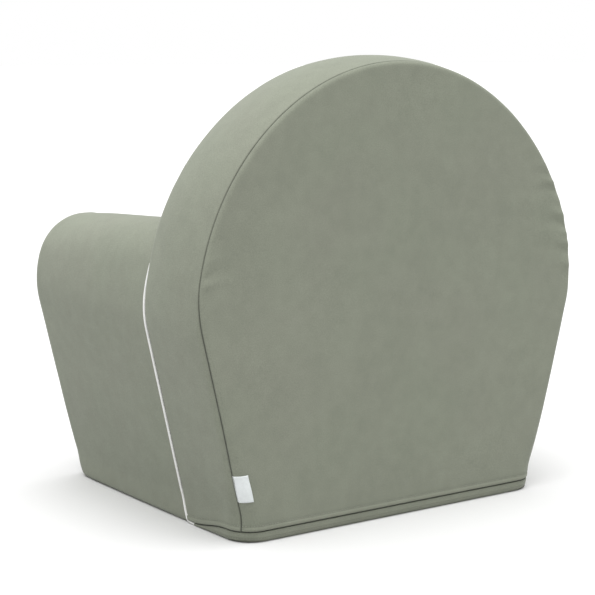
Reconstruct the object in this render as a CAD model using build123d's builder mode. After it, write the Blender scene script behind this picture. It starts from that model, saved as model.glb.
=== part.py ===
from build123d import *
from math import acos, asin, atan2, cos, degrees, hypot, radians, sin, tan
import os

# A child's foam armchair: a round-topped back slab, two rolled arms and a seat of foam, inside a
# sewn cover that comes off by a zip round the foot of the back.
# Millimetres, +Z up, the front faces -Y, origin on the floor at the middle of the chair.
os.makedirs("parts", exist_ok=True)

# Outline of the chair, seen from behind
overall_width = 520.0          # across the widest point of the cover
overall_height = 508.0         # floor to the top of the back
overall_depth = 380.0          # front panel to rear panel
widest_height = 247.0          # floor to the widest point
side_radius = 108.0            # roundness of the sides below the widest point
foot_inset = 49.0              # widest point to the cover at the floor, on each side
foot_height = 28.0             # upright band at the floor
foot_blend_radius = 60.0       # softens the turn from that band into the flare

# Back slab
back_depth = 118.0             # at the floor
back_lean = 1.25               # degrees, how far the slab's front face leans back
back_edge_radius = 6.0         # rear edge
back_front_radius = 5.0        # front edge

# Arms and seat
arm_rise = 77.0                # widest point to the top of the arm
arm_width = 122.0              # widest point to the inner wall's foot
arm_outer_radius = 62.0        # roll of the arm on the outside
arm_flat = 7.0                 # flat top between the arm's two rolls
arm_inner_lean = 6.2           # degrees, how far the inner walls open upwards
seat_height = 190.0            # floor to the seat
seat_corner_radius = 10.0      # crease between the seat and an arm
front_edge_radius = 8.0        # front edge of the arms and the seat
seam_step = 0.5                # flat strip between a rounded edge and the seam beside it

# Cover
cover_thickness = 1.2
foam_gap = 0.2                 # foam to the cover around it
piping_diameter = 3.2
piping_gap = 0.1               # piping to what it lies between
label_width = 18.5
label_height = 31.0
label_thickness = 0.5
label_bottom = 47.0            # floor to the label's lower edge
label_overhang = 4.0           # how far the label reaches over the rounded rear edge

# Zip, on its own plane inside the cover
rim_height = 12.0              # base panel's turned-up rim
zip_slit = 2.2                 # gap in the cover over the teeth
zip_inset = 3.4                # cover's face to the middle of the teeth
teeth_width = 1.3              # one row, up the wall
teeth_depth = 1.6              # one row, through the wall
teeth_split = 1.4              # between the two rows
tape_thickness = 0.5
tape_reach = 11.0              # middle of the zip to a tape's far edge
tape_flat = 3.6                # middle of the zip to where a tape turns to the cover
tape_slant = 3.0               # run of that turn, up the wall
zip_front_gap = 4.0            # slab's front face to the end stop
stop_length = 2.0
zip_pocket_height = 28.0       # rebate in the foam behind the zip
zip_pocket_inset = 6.2

cut_margin = 1.0               # how far a cut starts outside the face that it opens

# Slider and its pull
slider_length = 8.0
slider_width = 6.4
slider_plate = 0.8
slider_clearance = 0.3         # slider to the teeth and the tapes
slider_rest = 7.0              # end stop to the middle of the slider
flange_width = 0.7
neck_length = 2.5              # post between the two rows
neck_width = 0.7
ear_thickness = 1.3            # ear that stands through the slit
ear_width = 3.4
ear_rise = 1.3                 # cover's face to the middle of the ear's eye
eye_radius = 0.8
pull_pin_radius = 0.5
pull_length = 14.0
pull_width = 5.2
pull_thickness = 1.2
pull_fork_gap = 0.35           # fork to each side of the ear
pull_window = 2.4              # middle of the pin to the tab

# Outline geometry that follows from the sizes above
half_width = overall_width / 2
foot_x = half_width - foot_inset
base_width = 2 * foot_x
rear_y = overall_depth / 2
foam_inset = cover_thickness + foam_gap
rear_seam = back_edge_radius + seam_step
back_front_seam = back_front_radius + seam_step
seat_front_seam = front_edge_radius + seam_step
side_centre = (half_width - side_radius, widest_height)
dome_rise = overall_height - widest_height
foot_to_side = (foot_x - side_centre[0], foot_height - widest_height)
flare_angle = degrees(
    atan2(foot_to_side[1], foot_to_side[0]) + acos(side_radius / hypot(foot_to_side[0], foot_to_side[1]))
)

# Arm geometry: its outer roll runs on tangent from the side of the outline, and its inner roll fills
# what the flat top leaves before the inner wall
seat_width = overall_width - 2 * arm_width
arm_height = widest_height + arm_rise
roll_reach = side_radius - arm_outer_radius
roll_start = degrees(asin((arm_height - arm_outer_radius - widest_height) / roll_reach))
roll_centre = (side_centre[0] + roll_reach * cos(radians(roll_start)), arm_height - arm_outer_radius)
inner_tan = tan(radians(arm_inner_lean))
inner_cos = cos(radians(arm_inner_lean))
wall_reach = seat_width / 2 + (arm_height - seat_height) * inner_tan
arm_inner_radius = (roll_centre[0] - arm_flat - wall_reach) / (1 / inner_cos - inner_tan)

front_plane = Plane.XZ.offset(overall_depth / 2)
rear_plane = Plane.XZ.offset(-overall_depth / 2)
lean = radians(back_lean)
lean_plane = Plane(origin=(0, rear_y - back_depth, 0), x_dir=(1, 0, 0), z_dir=(0, -cos(lean), sin(lean)))


def flare_foot(growth):
    """Where the flared side, grown outwards, meets the upright band at the floor."""
    angle = radians(flare_angle)
    reach = side_radius + growth
    top = (side_centre[0] + reach * cos(angle), side_centre[1] + reach * sin(angle))
    drop = (top[0] - foot_x - growth) / tan(-angle)
    return (foot_x + growth, top[1] - drop), top


def side_edge(growth, base, stop_angle):
    """Curves from the floor up the right side to the given angle of the side's roundness."""
    foot, top = flare_foot(growth)
    FilletPolyline((foot[0], base), foot, top, radius=foot_blend_radius - growth)
    CenterArc(side_centre, side_radius + growth, flare_angle, stop_angle - flare_angle)


def back_face(growth, base):
    """Outline of the back, grown outwards and closed at the height base."""
    with BuildSketch(mode=Mode.PRIVATE) as face:
        with BuildLine():
            side_edge(growth, base, 0)
            EllipticalCenterArc((0, widest_height), half_width + growth, dome_rise + growth, arc_size=90)
            mirror(about=Plane.YZ)
            Line((foot_x + growth, base), (-foot_x - growth, base))
        make_face()
    return face.sketch


def seat_edge(growth, base):
    """Curves from the floor up the right side, over the arm and down to the middle of the seat."""
    roof = arm_height + growth
    inner_radius = arm_inner_radius + growth
    corner_radius = seat_corner_radius - growth
    seat = seat_height + growth
    inner_z = roof - inner_radius
    wall_shift = growth / inner_cos
    inner_x = seat_width / 2 - wall_shift + (inner_z - seat_height) * inner_tan + inner_radius / inner_cos
    corner_z = seat + corner_radius
    corner_x = seat_width / 2 - wall_shift + (corner_z - seat_height) * inner_tan - corner_radius / inner_cos
    side_edge(growth, base, roll_start)
    CenterArc(roll_centre, arm_outer_radius + growth, roll_start, 90 - roll_start)
    Line((roll_centre[0], roof), (inner_x, roof))
    inner = CenterArc((inner_x, inner_z), inner_radius, 90, 90 - arm_inner_lean)
    corner = CenterArc((corner_x, corner_z), corner_radius, -arm_inner_lean, arm_inner_lean - 90)
    Line(inner @ 1, corner @ 0)
    Line(corner @ 1, (0, seat))


def seat_face(growth, base):
    """Outline of the arms and the seat together, grown outwards and closed at the height base."""
    with BuildSketch(mode=Mode.PRIVATE) as face:
        with BuildLine():
            seat_edge(growth, base)
            mirror(about=Plane.YZ)
            Line((foot_x + growth, base), (-foot_x - growth, base))
        make_face()
    return face.sketch


def back_block(inset):
    """The back slab with its rounded edges, shrunk by inset on every side."""
    with BuildPart(mode=Mode.PRIVATE) as block:
        with BuildSketch(rear_plane.offset(inset)):
            add(back_face(-inset, inset))
        extrude(amount=2 * back_depth)
        split(bisect_by=lean_plane.offset(-inset), keep=Keep.BOTTOM)
        rear_edges = block.faces().sort_by(Axis.Y)[-1].edges().sort_by(Axis.Z)[1:]
        fillet(rear_edges, radius=back_edge_radius - inset)
        front_edges = block.faces().sort_by(Axis.Y)[0].edges().sort_by(Axis.Z)[1:]
        fillet(front_edges, radius=back_front_radius - inset)
    return block.part


def seat_block(inset, rear_limit):
    """Arms and seat as one block, shrunk by inset and ending behind at the plane rear_limit."""
    with BuildPart(mode=Mode.PRIVATE) as block:
        with BuildSketch(front_plane.offset(-inset)):
            add(seat_face(-inset, inset))
        extrude(amount=-overall_depth)
        split(bisect_by=rear_limit, keep=Keep.TOP)
        front_edges = block.faces().sort_by(Axis.Y)[0].edges().sort_by(Axis.Z)[1:]
        fillet(front_edges, radius=front_edge_radius - inset)
    return block.part


# Seams between the seat panel and the arms stand where the seat goes flat
seam_x = seat_width / 2 + seat_corner_radius * inner_tan - seat_corner_radius / inner_cos
seam_plane_left = Plane.YZ.offset(seam_x)
seam_plane_right = Plane.YZ.offset(-seam_x)

zip_bottom = rim_height
zip_top = rim_height + zip_slit
zip_z = (zip_bottom + zip_top) / 2
zip_bottom_plane = Plane.XY.offset(zip_bottom)
zip_top_plane = Plane.XY.offset(zip_top)
floor_plane = Plane.XY.offset(cover_thickness)
piping_plane = lean_plane.offset(piping_gap + piping_diameter / 2)
wrap_end_plane = lean_plane.offset(2 * piping_gap + piping_diameter)

# Foam: the back slab carries a low pad where the arms and the seat are glued to it
with BuildPart() as foam_back:
    add(back_block(foam_inset))
    with BuildSketch(lean_plane):
        add(back_face(-back_front_seam - foam_gap, foam_inset))
        add(seat_face(-foam_inset, foam_inset), mode=Mode.INTERSECT)
    extrude(amount=-foam_inset - cut_margin)
    with BuildSketch(Plane.XY):
        Rectangle(overall_width, overall_depth)
        Rectangle(base_width - 2 * zip_pocket_inset, overall_depth - 2 * zip_pocket_inset, mode=Mode.SUBTRACT)
    extrude(amount=zip_pocket_height, mode=Mode.SUBTRACT)
foam_back.part.label = "foam_back"
export_step(foam_back.part, "parts/foam_back.step")

with BuildPart() as foam_block:
    add(seat_block(foam_inset, lean_plane))

with BuildPart() as foam_seat:
    add(foam_block.part)
    split(bisect_by=seam_plane_left, keep=Keep.BOTTOM)
    split(bisect_by=seam_plane_right, keep=Keep.TOP)
foam_seat.part.label = "foam_seat"
export_step(foam_seat.part, "parts/foam_seat.step")

with BuildPart() as foam_arm_left:
    add(foam_block.part)
    split(bisect_by=seam_plane_left, keep=Keep.TOP)
foam_arm_left.part.label = "foam_arm_left"
export_step(foam_arm_left.part, "parts/foam_arm_left.step")

with BuildPart() as foam_arm_right:
    add(foam_block.part)
    split(bisect_by=seam_plane_right, keep=Keep.BOTTOM)
foam_arm_right.part.label = "foam_arm_right"
export_step(foam_arm_right.part, "parts/foam_arm_right.step")

# Cover of the back: its skin, open at the slab's front face, is cut into panels
with BuildPart() as back_skin:
    add(back_block(0.0))
    add(back_block(cover_thickness), mode=Mode.SUBTRACT)
    with BuildSketch(lean_plane.offset(cut_margin)):
        add(back_face(-back_front_seam, -cut_margin))
    extrude(amount=-back_front_seam - cut_margin, mode=Mode.SUBTRACT)

with BuildPart() as cover_rear_panel:
    with BuildSketch(rear_plane):
        add(back_face(-rear_seam, zip_top))
    extrude(amount=cover_thickness)
cover_rear_panel.part.label = "cover_rear_panel"
export_step(cover_rear_panel.part, "parts/cover_rear_panel.step")

with BuildPart() as cover_back_boxing:
    add(back_skin.part)
    with BuildSketch(rear_plane.offset(-cut_margin)):
        add(back_face(-rear_seam, -cut_margin))
    extrude(amount=rear_seam + cut_margin, mode=Mode.SUBTRACT)
    split(bisect_by=zip_top_plane, keep=Keep.TOP)
cover_back_boxing.part.label = "cover_back_boxing"
export_step(cover_back_boxing.part, "parts/cover_back_boxing.step")

with BuildPart() as cover_inner_back:
    with BuildSketch(lean_plane):
        add(back_face(-back_front_seam, 0.0))
        add(seat_face(-cover_thickness, 0.0), mode=Mode.SUBTRACT)
    extrude(amount=-cover_thickness)
cover_inner_back.part.label = "cover_inner_back"
export_step(cover_inner_back.part, "parts/cover_inner_back.step")


# Cover of the arms and the seat: its skin, without the front panel and the bottom, is cut the same way
with BuildPart() as seat_skin:
    add(seat_block(0.0, wrap_end_plane))
    add(seat_block(cover_thickness, lean_plane), mode=Mode.SUBTRACT)
    with BuildSketch(front_plane.offset(cut_margin)):
        add(seat_face(-seat_front_seam, -cut_margin))
    extrude(amount=-seat_front_seam - cut_margin, mode=Mode.SUBTRACT)
    split(bisect_by=floor_plane, keep=Keep.TOP)

with BuildPart() as cover_arm_left:
    add(seat_skin.part)
    split(bisect_by=seam_plane_left, keep=Keep.TOP)
cover_arm_left.part.label = "cover_arm_left"
export_step(cover_arm_left.part, "parts/cover_arm_left.step")

with BuildPart() as cover_arm_right:
    add(seat_skin.part)
    split(bisect_by=seam_plane_right, keep=Keep.BOTTOM)
cover_arm_right.part.label = "cover_arm_right"
export_step(cover_arm_right.part, "parts/cover_arm_right.step")

with BuildPart() as cover_seat:
    add(seat_skin.part)
    split(bisect_by=seam_plane_left, keep=Keep.BOTTOM)
    split(bisect_by=seam_plane_right, keep=Keep.TOP)
cover_seat.part.label = "cover_seat"
export_step(cover_seat.part, "parts/cover_seat.step")

with BuildPart() as cover_front:
    with BuildSketch(front_plane):
        add(seat_face(-seat_front_seam, cover_thickness))
    extrude(amount=-cover_thickness)
cover_front.part.label = "cover_front"
export_step(cover_front.part, "parts/cover_front.step")

# Base panel with the rim that turns up behind, below the zip
with BuildPart() as cover_base:
    with BuildSketch(Plane.XY) as footprint:
        Rectangle(base_width, overall_depth)
        fillet(footprint.vertices().group_by(Axis.Y)[-1], radius=back_edge_radius)
        fillet(footprint.vertices().group_by(Axis.Y)[0], radius=front_edge_radius)
    extrude(amount=cover_thickness)
    with BuildPart(mode=Mode.PRIVATE) as rim:
        add(back_skin.part)
        split(bisect_by=zip_bottom_plane, keep=Keep.BOTTOM)
        split(bisect_by=Plane.XY.offset(cover_thickness / 2), keep=Keep.TOP)
    add(rim.part)
cover_base.part.label = "cover_base"
export_step(cover_base.part, "parts/cover_base.step")

# Piping, sewn in where the arms and the seat meet the back
with BuildPart() as piping:
    with BuildLine(piping_plane) as piping_route:
        seat_edge(piping_diameter / 2 - cover_thickness - piping_gap, foam_inset)
        mirror(about=Plane.YZ)
    piping_wire = piping_route.wires()[0]
    with BuildSketch(Plane(origin=piping_wire @ 0, z_dir=piping_wire % 0)):
        Circle(piping_diameter / 2)
    sweep(path=piping_wire)
piping.part.label = "piping"
export_step(piping.part, "parts/piping.step")

# Blank label, caught in the seam beside the rear panel
label_middle = label_bottom + label_height / 2
label_foot, label_top = flare_foot(0.0)
label_slope = (label_top[0] - label_foot[0]) / (label_top[1] - label_foot[1])
label_edge = label_foot[0] + label_slope * (label_middle - label_foot[1]) - rear_seam + label_overhang
with BuildPart() as side_label:
    with BuildSketch(rear_plane.offset(-label_thickness)):
        with Locations((label_edge - label_width / 2, label_middle)):
            Rectangle(label_width, label_height)
    extrude(amount=label_thickness)
side_label.part.label = "side_label"
export_step(side_label.part, "parts/side_label.step")

# Zip
teeth_x = foot_x - zip_inset
teeth_rear = rear_y - zip_inset
slab_front_y = lean_plane.origin.Y + zip_z * tan(lean)
teeth_front = slab_front_y + zip_front_gap + stop_length
zip_section = Plane(origin=(teeth_x, teeth_front, zip_z), x_dir=(0, 0, 1), z_dir=(0, 1, 0))
tape_join = teeth_split / 2 + teeth_width
cover_reach = zip_inset - cover_thickness - foam_gap - tape_thickness / 2


def zip_path():
    """Route of the teeth round the foot of the back."""
    with BuildLine(Plane.XY.offset(zip_z), mode=Mode.PRIVATE) as path:
        FilletPolyline(
            (teeth_x, teeth_front),
            (teeth_x, teeth_rear),
            (-teeth_x, teeth_rear),
            (-teeth_x, teeth_front),
            radius=back_edge_radius - zip_inset,
        )
    return path.wires()[0]


def tape_outline():
    """Points of a tape's section: flat at the teeth, then out to the cover's inside."""
    half = tape_thickness / 2
    return [
        (tape_join, half),
        (tape_flat, half),
        (tape_flat + tape_slant, cover_reach + half),
        (tape_reach, cover_reach + half),
        (tape_reach, cover_reach - half),
        (tape_flat + tape_slant, cover_reach - half),
        (tape_flat, -half),
        (tape_join, -half),
    ]


with BuildPart() as zip_tape_upper:
    with BuildSketch(zip_section):
        with BuildLine():
            Polyline(*tape_outline(), close=True)
        make_face()
    sweep(path=zip_path())
zip_tape_upper.part.label = "zip_tape_upper"
export_step(zip_tape_upper.part, "parts/zip_tape_upper.step")

with BuildPart() as zip_tape_lower:
    with BuildSketch(zip_section):
        with BuildLine():
            Polyline(*[(-height, depth) for height, depth in tape_outline()], close=True)
        make_face()
    sweep(path=zip_path())
zip_tape_lower.part.label = "zip_tape_lower"
export_step(zip_tape_lower.part, "parts/zip_tape_lower.step")

teeth_offset = teeth_split / 2 + teeth_width / 2

with BuildPart() as zip_teeth_upper:
    with BuildSketch(zip_section):
        with Locations((teeth_offset, 0)):
            Rectangle(teeth_width, teeth_depth)
    sweep(path=zip_path())
zip_teeth_upper.part.label = "zip_teeth_upper"
export_step(zip_teeth_upper.part, "parts/zip_teeth_upper.step")

with BuildPart() as zip_teeth_lower:
    with BuildSketch(zip_section):
        with Locations((-teeth_offset, 0)):
            Rectangle(teeth_width, teeth_depth)
    sweep(path=zip_path())
zip_teeth_lower.part.label = "zip_teeth_lower"
export_step(zip_teeth_lower.part, "parts/zip_teeth_lower.step")

with BuildPart() as zip_end_stops:
    with BuildSketch(Plane.XZ.offset(-teeth_front)):
        with Locations((teeth_x, zip_z), (-teeth_x, zip_z)):
            Rectangle(teeth_depth, 2 * tape_join)
    extrude(amount=stop_length)
zip_end_stops.part.label = "zip_end_stops"
export_step(zip_end_stops.part, "parts/zip_end_stops.step")

# Slider on the right-hand run of the zip, and its pull: depths are counted outwards from the teeth
slider_y = teeth_front + slider_rest
plate_depth = teeth_depth / 2 + slider_clearance
flange_depth = tape_thickness / 2 + slider_clearance
flange_offset = slider_width / 2 - flange_width / 2
eye_depth = zip_inset + ear_rise


def depth_plane(depth):
    """Plane along the right-hand wall, this far out from the middle of the teeth."""
    return Plane.YZ.offset(-teeth_x - depth)


with BuildPart() as zip_slider:
    for plate_start in (plate_depth + slider_plate, -plate_depth):
        with BuildSketch(depth_plane(plate_start)):
            with Locations((slider_y, zip_z)):
                RectangleRounded(slider_length, slider_width, slider_width / 4)
        extrude(amount=slider_plate)
    for flange_start in (plate_depth, -flange_depth):
        with BuildSketch(depth_plane(flange_start)):
            with Locations((slider_y, zip_z + flange_offset), (slider_y, zip_z - flange_offset)):
                Rectangle(slider_length - slider_width / 2, flange_width)
        extrude(amount=plate_depth - flange_depth)
    with BuildSketch(depth_plane(plate_depth)):
        with Locations((slider_y - slider_length / 2 + neck_length / 2, zip_z)):
            Rectangle(neck_length, neck_width)
    extrude(amount=2 * plate_depth)
    with BuildSketch(Plane.XY.offset(zip_z - ear_thickness / 2)):
        ear_foot = -teeth_x - plate_depth - slider_plate / 2
        with Locations(((ear_foot - teeth_x - eye_depth) / 2, slider_y)):
            Rectangle(teeth_x + eye_depth + ear_foot, ear_width)
        with Locations((-teeth_x - eye_depth, slider_y)):
            Circle(ear_width / 2)
            Circle(eye_radius, mode=Mode.SUBTRACT)
    extrude(amount=ear_thickness)
zip_slider.part.label = "zip_slider"
export_step(zip_slider.part, "parts/zip_slider.step")

fork_inside = ear_thickness / 2 + pull_fork_gap
with BuildPart() as zip_pull:
    with BuildSketch(Plane.XY.offset(zip_z - pull_width / 2)):
        with Locations((-teeth_x - eye_depth, slider_y)):
            Circle(pull_thickness / 2)
        with Locations((-teeth_x - eye_depth, slider_y + pull_length / 2)):
            Rectangle(pull_thickness, pull_length)
    extrude(amount=pull_width)
    with BuildSketch(Plane.XY.offset(zip_z - fork_inside)):
        with Locations((-teeth_x - eye_depth, slider_y)):
            Rectangle(2 * pull_thickness, 2 * pull_window)
    extrude(amount=2 * fork_inside, mode=Mode.SUBTRACT)
    with BuildSketch(Plane.XY.offset(zip_z - pull_width / 2)):
        with Locations((-teeth_x - eye_depth, slider_y)):
            Circle(pull_pin_radius)
    extrude(amount=pull_width)
zip_pull.part.label = "zip_pull"
export_step(zip_pull.part, "parts/zip_pull.step")
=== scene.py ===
import math

import bmesh
import bpy
import numpy as np
from bpy.props import FloatProperty, FloatVectorProperty, PointerProperty
from mathutils import Matrix, Vector, noise
from mathutils.kdtree import KDTree


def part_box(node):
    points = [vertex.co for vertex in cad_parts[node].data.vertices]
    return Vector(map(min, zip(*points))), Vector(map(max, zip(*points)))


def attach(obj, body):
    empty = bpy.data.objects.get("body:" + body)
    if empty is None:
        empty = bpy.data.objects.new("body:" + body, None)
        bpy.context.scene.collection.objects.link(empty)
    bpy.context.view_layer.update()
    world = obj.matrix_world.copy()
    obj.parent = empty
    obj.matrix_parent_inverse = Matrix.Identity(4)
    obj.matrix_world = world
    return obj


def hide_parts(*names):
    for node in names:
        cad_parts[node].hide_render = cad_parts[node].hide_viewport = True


bl_info = {
    "name": "Kids armchair",
    "version": (1, 0, 0),
    "blender": (4, 5, 0),
    "location": "View3D > Sidebar > Armchair",
    "description": "Sews the cover, piping and zip of a child's foam armchair round its frame",
    "category": "Object",
}

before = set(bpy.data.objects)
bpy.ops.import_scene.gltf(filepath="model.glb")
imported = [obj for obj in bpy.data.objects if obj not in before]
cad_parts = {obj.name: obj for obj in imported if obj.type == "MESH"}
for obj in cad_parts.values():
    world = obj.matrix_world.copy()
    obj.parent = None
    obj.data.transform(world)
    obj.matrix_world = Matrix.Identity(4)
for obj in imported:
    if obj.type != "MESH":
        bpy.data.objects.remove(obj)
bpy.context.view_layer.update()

# Places that come from the frame, in metres
REAR_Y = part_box("cover_rear_panel")[1].y
FRONT_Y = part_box("cover_front")[0].y
HALF_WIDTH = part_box("cover_back_boxing")[1].x
TOP_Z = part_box("cover_back_boxing")[1].z
SLIT_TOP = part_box("cover_back_boxing")[0].z
SLIT_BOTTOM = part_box("cover_base")[1].z
FOOT_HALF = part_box("cover_base")[1].x
ARM_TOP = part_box("cover_arm_left")[1].z
SEAT_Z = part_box("cover_seat")[1].z
SEAT_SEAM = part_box("cover_seat")[1].x
LABEL_LOW, LABEL_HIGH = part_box("side_label")
ZIP_END_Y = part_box("zip_teeth_upper")[0].y
ZIP_Z = (SLIT_TOP + SLIT_BOTTOM) / 2

# Sewn lines: how wide the shade painted along a seam spreads, where the hem's and the rim's stitches lie
SEAM_SHADE = 0.0011
HEM_STITCH = 0.0009
RIM_STITCHES = (0.0024, 0.0072)
# Depth below the rim's top of the line along which shade is painted on the rim
RIM_SHADE = 0.0068
CREASE_WIDTH = 0.0006
# Added to the distance from a sewn line so that the shade painted along it is fainter than a seam's
LINE_EASE = 0.0009

# The zip's teeth stand this far inside the cover, and the foam cores this far
ZIP_INSET = 0.0034
CORE_GAP = 0.0024

# Folds that the photo shows at the rear seam: run along the seam from the top, height, width, reach and slant
REAR_FOLDS = (
    (-0.262, 0.0008, 0.0034, 0.018, 0.8), (-0.276, -0.0010, 0.0036, 0.020, 0.85),
    (-0.287, 0.0019, 0.0036, 0.028, 0.85), (-0.298, -0.0021, 0.0036, 0.030, 0.8),
    (-0.311, 0.0012, 0.0040, 0.018, 0.75), (-0.330, 0.0021, 0.0056, 0.042, 0.78),
    (-0.343, -0.0027, 0.0050, 0.040, 0.72), (-0.353, 0.0015, 0.0040, 0.026, 0.6),
    (-0.366, 0.0018, 0.0044, 0.034, 0.6), (-0.377, -0.0019, 0.0040, 0.028, 0.55),
    (-0.391, 0.0014, 0.0036, 0.022, 0.45), (-0.405, -0.0010, 0.0036, 0.018, 0.35),
    (0.366, -0.0021, 0.0034, 0.018, -0.5), (0.376, 0.0018, 0.0034, 0.022, -0.45),
    (0.350, 0.0010, 0.0036, 0.018, -0.5), (0.330, -0.0009, 0.0036, 0.018, -0.5),
)


def length(name, description, default):
    """A size in metres that a user may change."""
    return FloatProperty(name=name, description=description, default=default, unit="LENGTH", precision=4)


def tint(name, description, default):
    """A colour that a user may change."""
    return FloatVectorProperty(
        name=name, description=description, default=default, subtype="COLOR", min=0, max=1
    )


def angle_size(name, description, default):
    """An angle that a user may change."""
    return FloatProperty(name=name, description=description, default=default, subtype="ANGLE")


class ChairSizes(bpy.types.PropertyGroup):
    """Outline of the chair and of its parts"""

    half_width: length("Half width", "Middle to the widest point", HALF_WIDTH)
    top: length("Top", "Floor to the top of the back", TOP_Z)
    widest_height: length("Widest height", "Floor to the widest point", 0.247)
    side_radius: length("Side radius", "Roundness of the sides below the widest point", 0.108)
    foot_half: length("Foot", "Middle to the cover at the floor", FOOT_HALF)
    foot_height: length("Foot height", "Upright band at the floor", 0.028)
    foot_blend: length("Foot blend", "Softens the turn from that band into the flare", 0.060)
    slab_depth: length("Slab depth", "Thickness of the back at the floor", 0.118)
    slab_lean: angle_size("Slab lean", "How far the slab's front leans back", math.radians(1.25))
    arm_top: length("Arm top", "Floor to the top of the arm", ARM_TOP)
    arm_outer_radius: length("Outer roll", "Roll of the arm on the outside", 0.062)
    arm_flat: length("Arm flat", "Flat top between the arm's two rolls", 0.007)
    arm_width: length("Arm width", "Widest point to the inner wall's foot", 0.122)
    inner_lean: angle_size("Inner lean", "How far the inner walls open upwards", math.radians(6.2))
    seat_height: length("Seat height", "Floor to the seat", SEAT_Z)
    seat_corner: length("Seat corner", "Crease between the seat and an arm", 0.010)
    seat_seam: length("Seat seam", "Middle to the seam beside the seat", SEAT_SEAM)


class CoverSizes(bpy.types.PropertyGroup):
    """How the cover is sewn and how it lies on the foam"""

    cloth: length("Cloth", "Thickness of the cover", 0.0011)
    rear_round: length("Rear edge", "Roundness of the slab's rear edge at the top", 0.0052)
    rear_side_round: length("Rear side edge", "Extra roundness of that edge below the widest point", 0.0038)
    rear_foot_round: length("Rear foot corner", "Extra roundness of the rear corners at the floor", 0.026)
    rear_foot_fade: length("Rear foot fade", "Height over which that roundness fades", 0.060)
    front_round: length("Front edge", "Roundness of the front edge", 0.008)
    front_foot_round: length("Front foot corner", "Extra roundness of the front corners at the floor", 0.027)
    front_foot_fade: length("Front foot fade", "Height over which that roundness fades", 0.018)
    slab_front_round: length("Slab front edge", "Roundness of the slab's front edge above the arms", 0.005)
    joint_round: length("Joint edge", "Roundness of the slab's front edge beside the piping", 0.0022)
    front_seam: length("Front seam", "Outline to the seam of the front panel", 0.0085)
    roll: length("Seam roll", "Roll of the cloth into a seam", 0.0012)
    roll_tail: length("Seam depth", "How far the cloth goes on into the foam", 0.0014)
    seam_gap: length("Seam gap", "Half the gap between two panels", 0.0002)
    bottom_tuck: length("Bottom tuck", "How far the cover draws in at the floor", 0.0035)
    bottom_roll: length("Bottom roll", "Height over which it draws in", 0.0055)
    lip: length("Lip", "How far the hem over the zip stands proud", 0.0013)
    lip_height: length("Lip height", "Height of that hem", 0.0044)
    crease: length("Crease", "Depth of a sewn line", 0.0006)
    seat_crown: length("Seat crown", "How far the seat swells", 0.006)
    back_crown: length("Back crown", "How far the back rest swells", 0.004)
    arm_crown: length("Arm crown", "How far the arms swell", 0.0012)
    arm_swell: length("Arm swell", "How far the arms rise towards the back", 0.011)
    boxing_crown: length("Boxing crown", "How far the strip round the back swells", 0.006)
    shoulder: length("Shoulder", "How far the back draws in beside its top", 0.0018)
    pucker: length("Puckers", "Height of the puckers at the seams", 0.00045)
    wave: length("Waves", "Height of the broad waves in the cloth", 0.0005)
    piping: length("Piping", "Diameter of the piping", 0.0029)
    piping_room: length("Piping room", "Slab's front face to the arms' cloth", 0.0034)
    joint_shift: length("Joint shift", "How far the piping runs back at the floor", 0.0125)
    joint_fade: length("Joint fade", "Height over which it does so", 0.044)
    hem_drop: length("Hem drop", "How far the hem hangs over the zip", 0.0015)
    rim_drop: length("Rim drop", "How far the rim runs out towards the piping", 0.0095)


class ChairColours(bpy.types.PropertyGroup):
    """Colours of the materials"""

    cover: tint("Cover", "Brushed cover fabric", (0.249, 0.264, 0.208))
    piping: tint("Piping", "Satin piping", (0.95, 0.95, 0.93))
    label: tint("Label", "Woven label", (0.84, 0.88, 0.88))
    foam: tint("Foam", "Foam cores", (0.86, 0.83, 0.72))
    tape: tint("Zip tape", "Woven zip tape", (0.17, 0.18, 0.14))
    nylon: tint("Zip teeth", "Moulded teeth", (0.17, 0.18, 0.145))
    metal: tint("Zip metal", "Painted slider and stops", (0.24, 0.255, 0.21))
    thread: tint("Thread", "Sewing thread", (0.36, 0.375, 0.31))


class StudioSettings(bpy.types.PropertyGroup):
    """Camera and light"""

    camera_x: length("Camera X", "Camera place", 1.1358)
    camera_y: length("Camera Y", "Camera place", 1.61457)
    camera_z: length("Camera Z", "Camera place", 0.52224)
    camera_yaw: angle_size("Yaw", "Camera turn", 0.6104)
    camera_pitch: angle_size("Pitch", "Camera tilt", 0.1494)
    camera_lens: FloatProperty(name="Lens", description="Focal length", default=100.57, unit="CAMERA")
    sky: FloatProperty(name="Sky", description="Strength of the even light", default=0.60, min=0)
    lamp: FloatProperty(name="Lamp", description="Strength of the light from above", default=3.0, min=0)
    lamp_spread: angle_size("Lamp spread", "Softness of the light from above", math.radians(76))
    floor: FloatProperty(name="Floor", description="Brightness of the floor", default=0.82, min=0, max=1)
    bounce: FloatProperty(
        name="Bounce", description="Light that the floor throws back", default=0.57, min=0, max=1
    )


def sizes_of(context):
    """Sizes of the chair and of its cover."""
    return context.scene.chair_sizes, context.scene.cover_sizes


def arc(centre, radius, start, stop, count=240):
    """Points of an arc, in degrees; radius may be two radii of an ellipse."""
    across, up = radius if isinstance(radius, tuple) else (radius, radius)
    angle = np.radians(np.linspace(start, stop, count))
    return np.column_stack([centre[0] + across * np.cos(angle), centre[1] + up * np.sin(angle)])


def run_along(line):
    """Distance of each place of a line from its start."""
    return np.r_[0, np.cumsum(np.linalg.norm(np.diff(line, axis=0), axis=1))]


def resample(line, count):
    """A line with that many places, evenly apart by its first two coordinates."""
    along = run_along(line[:, :2])
    wanted = np.linspace(0, along[-1], count)
    return np.column_stack([np.interp(wanted, along, column) for column in line.T])


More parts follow.
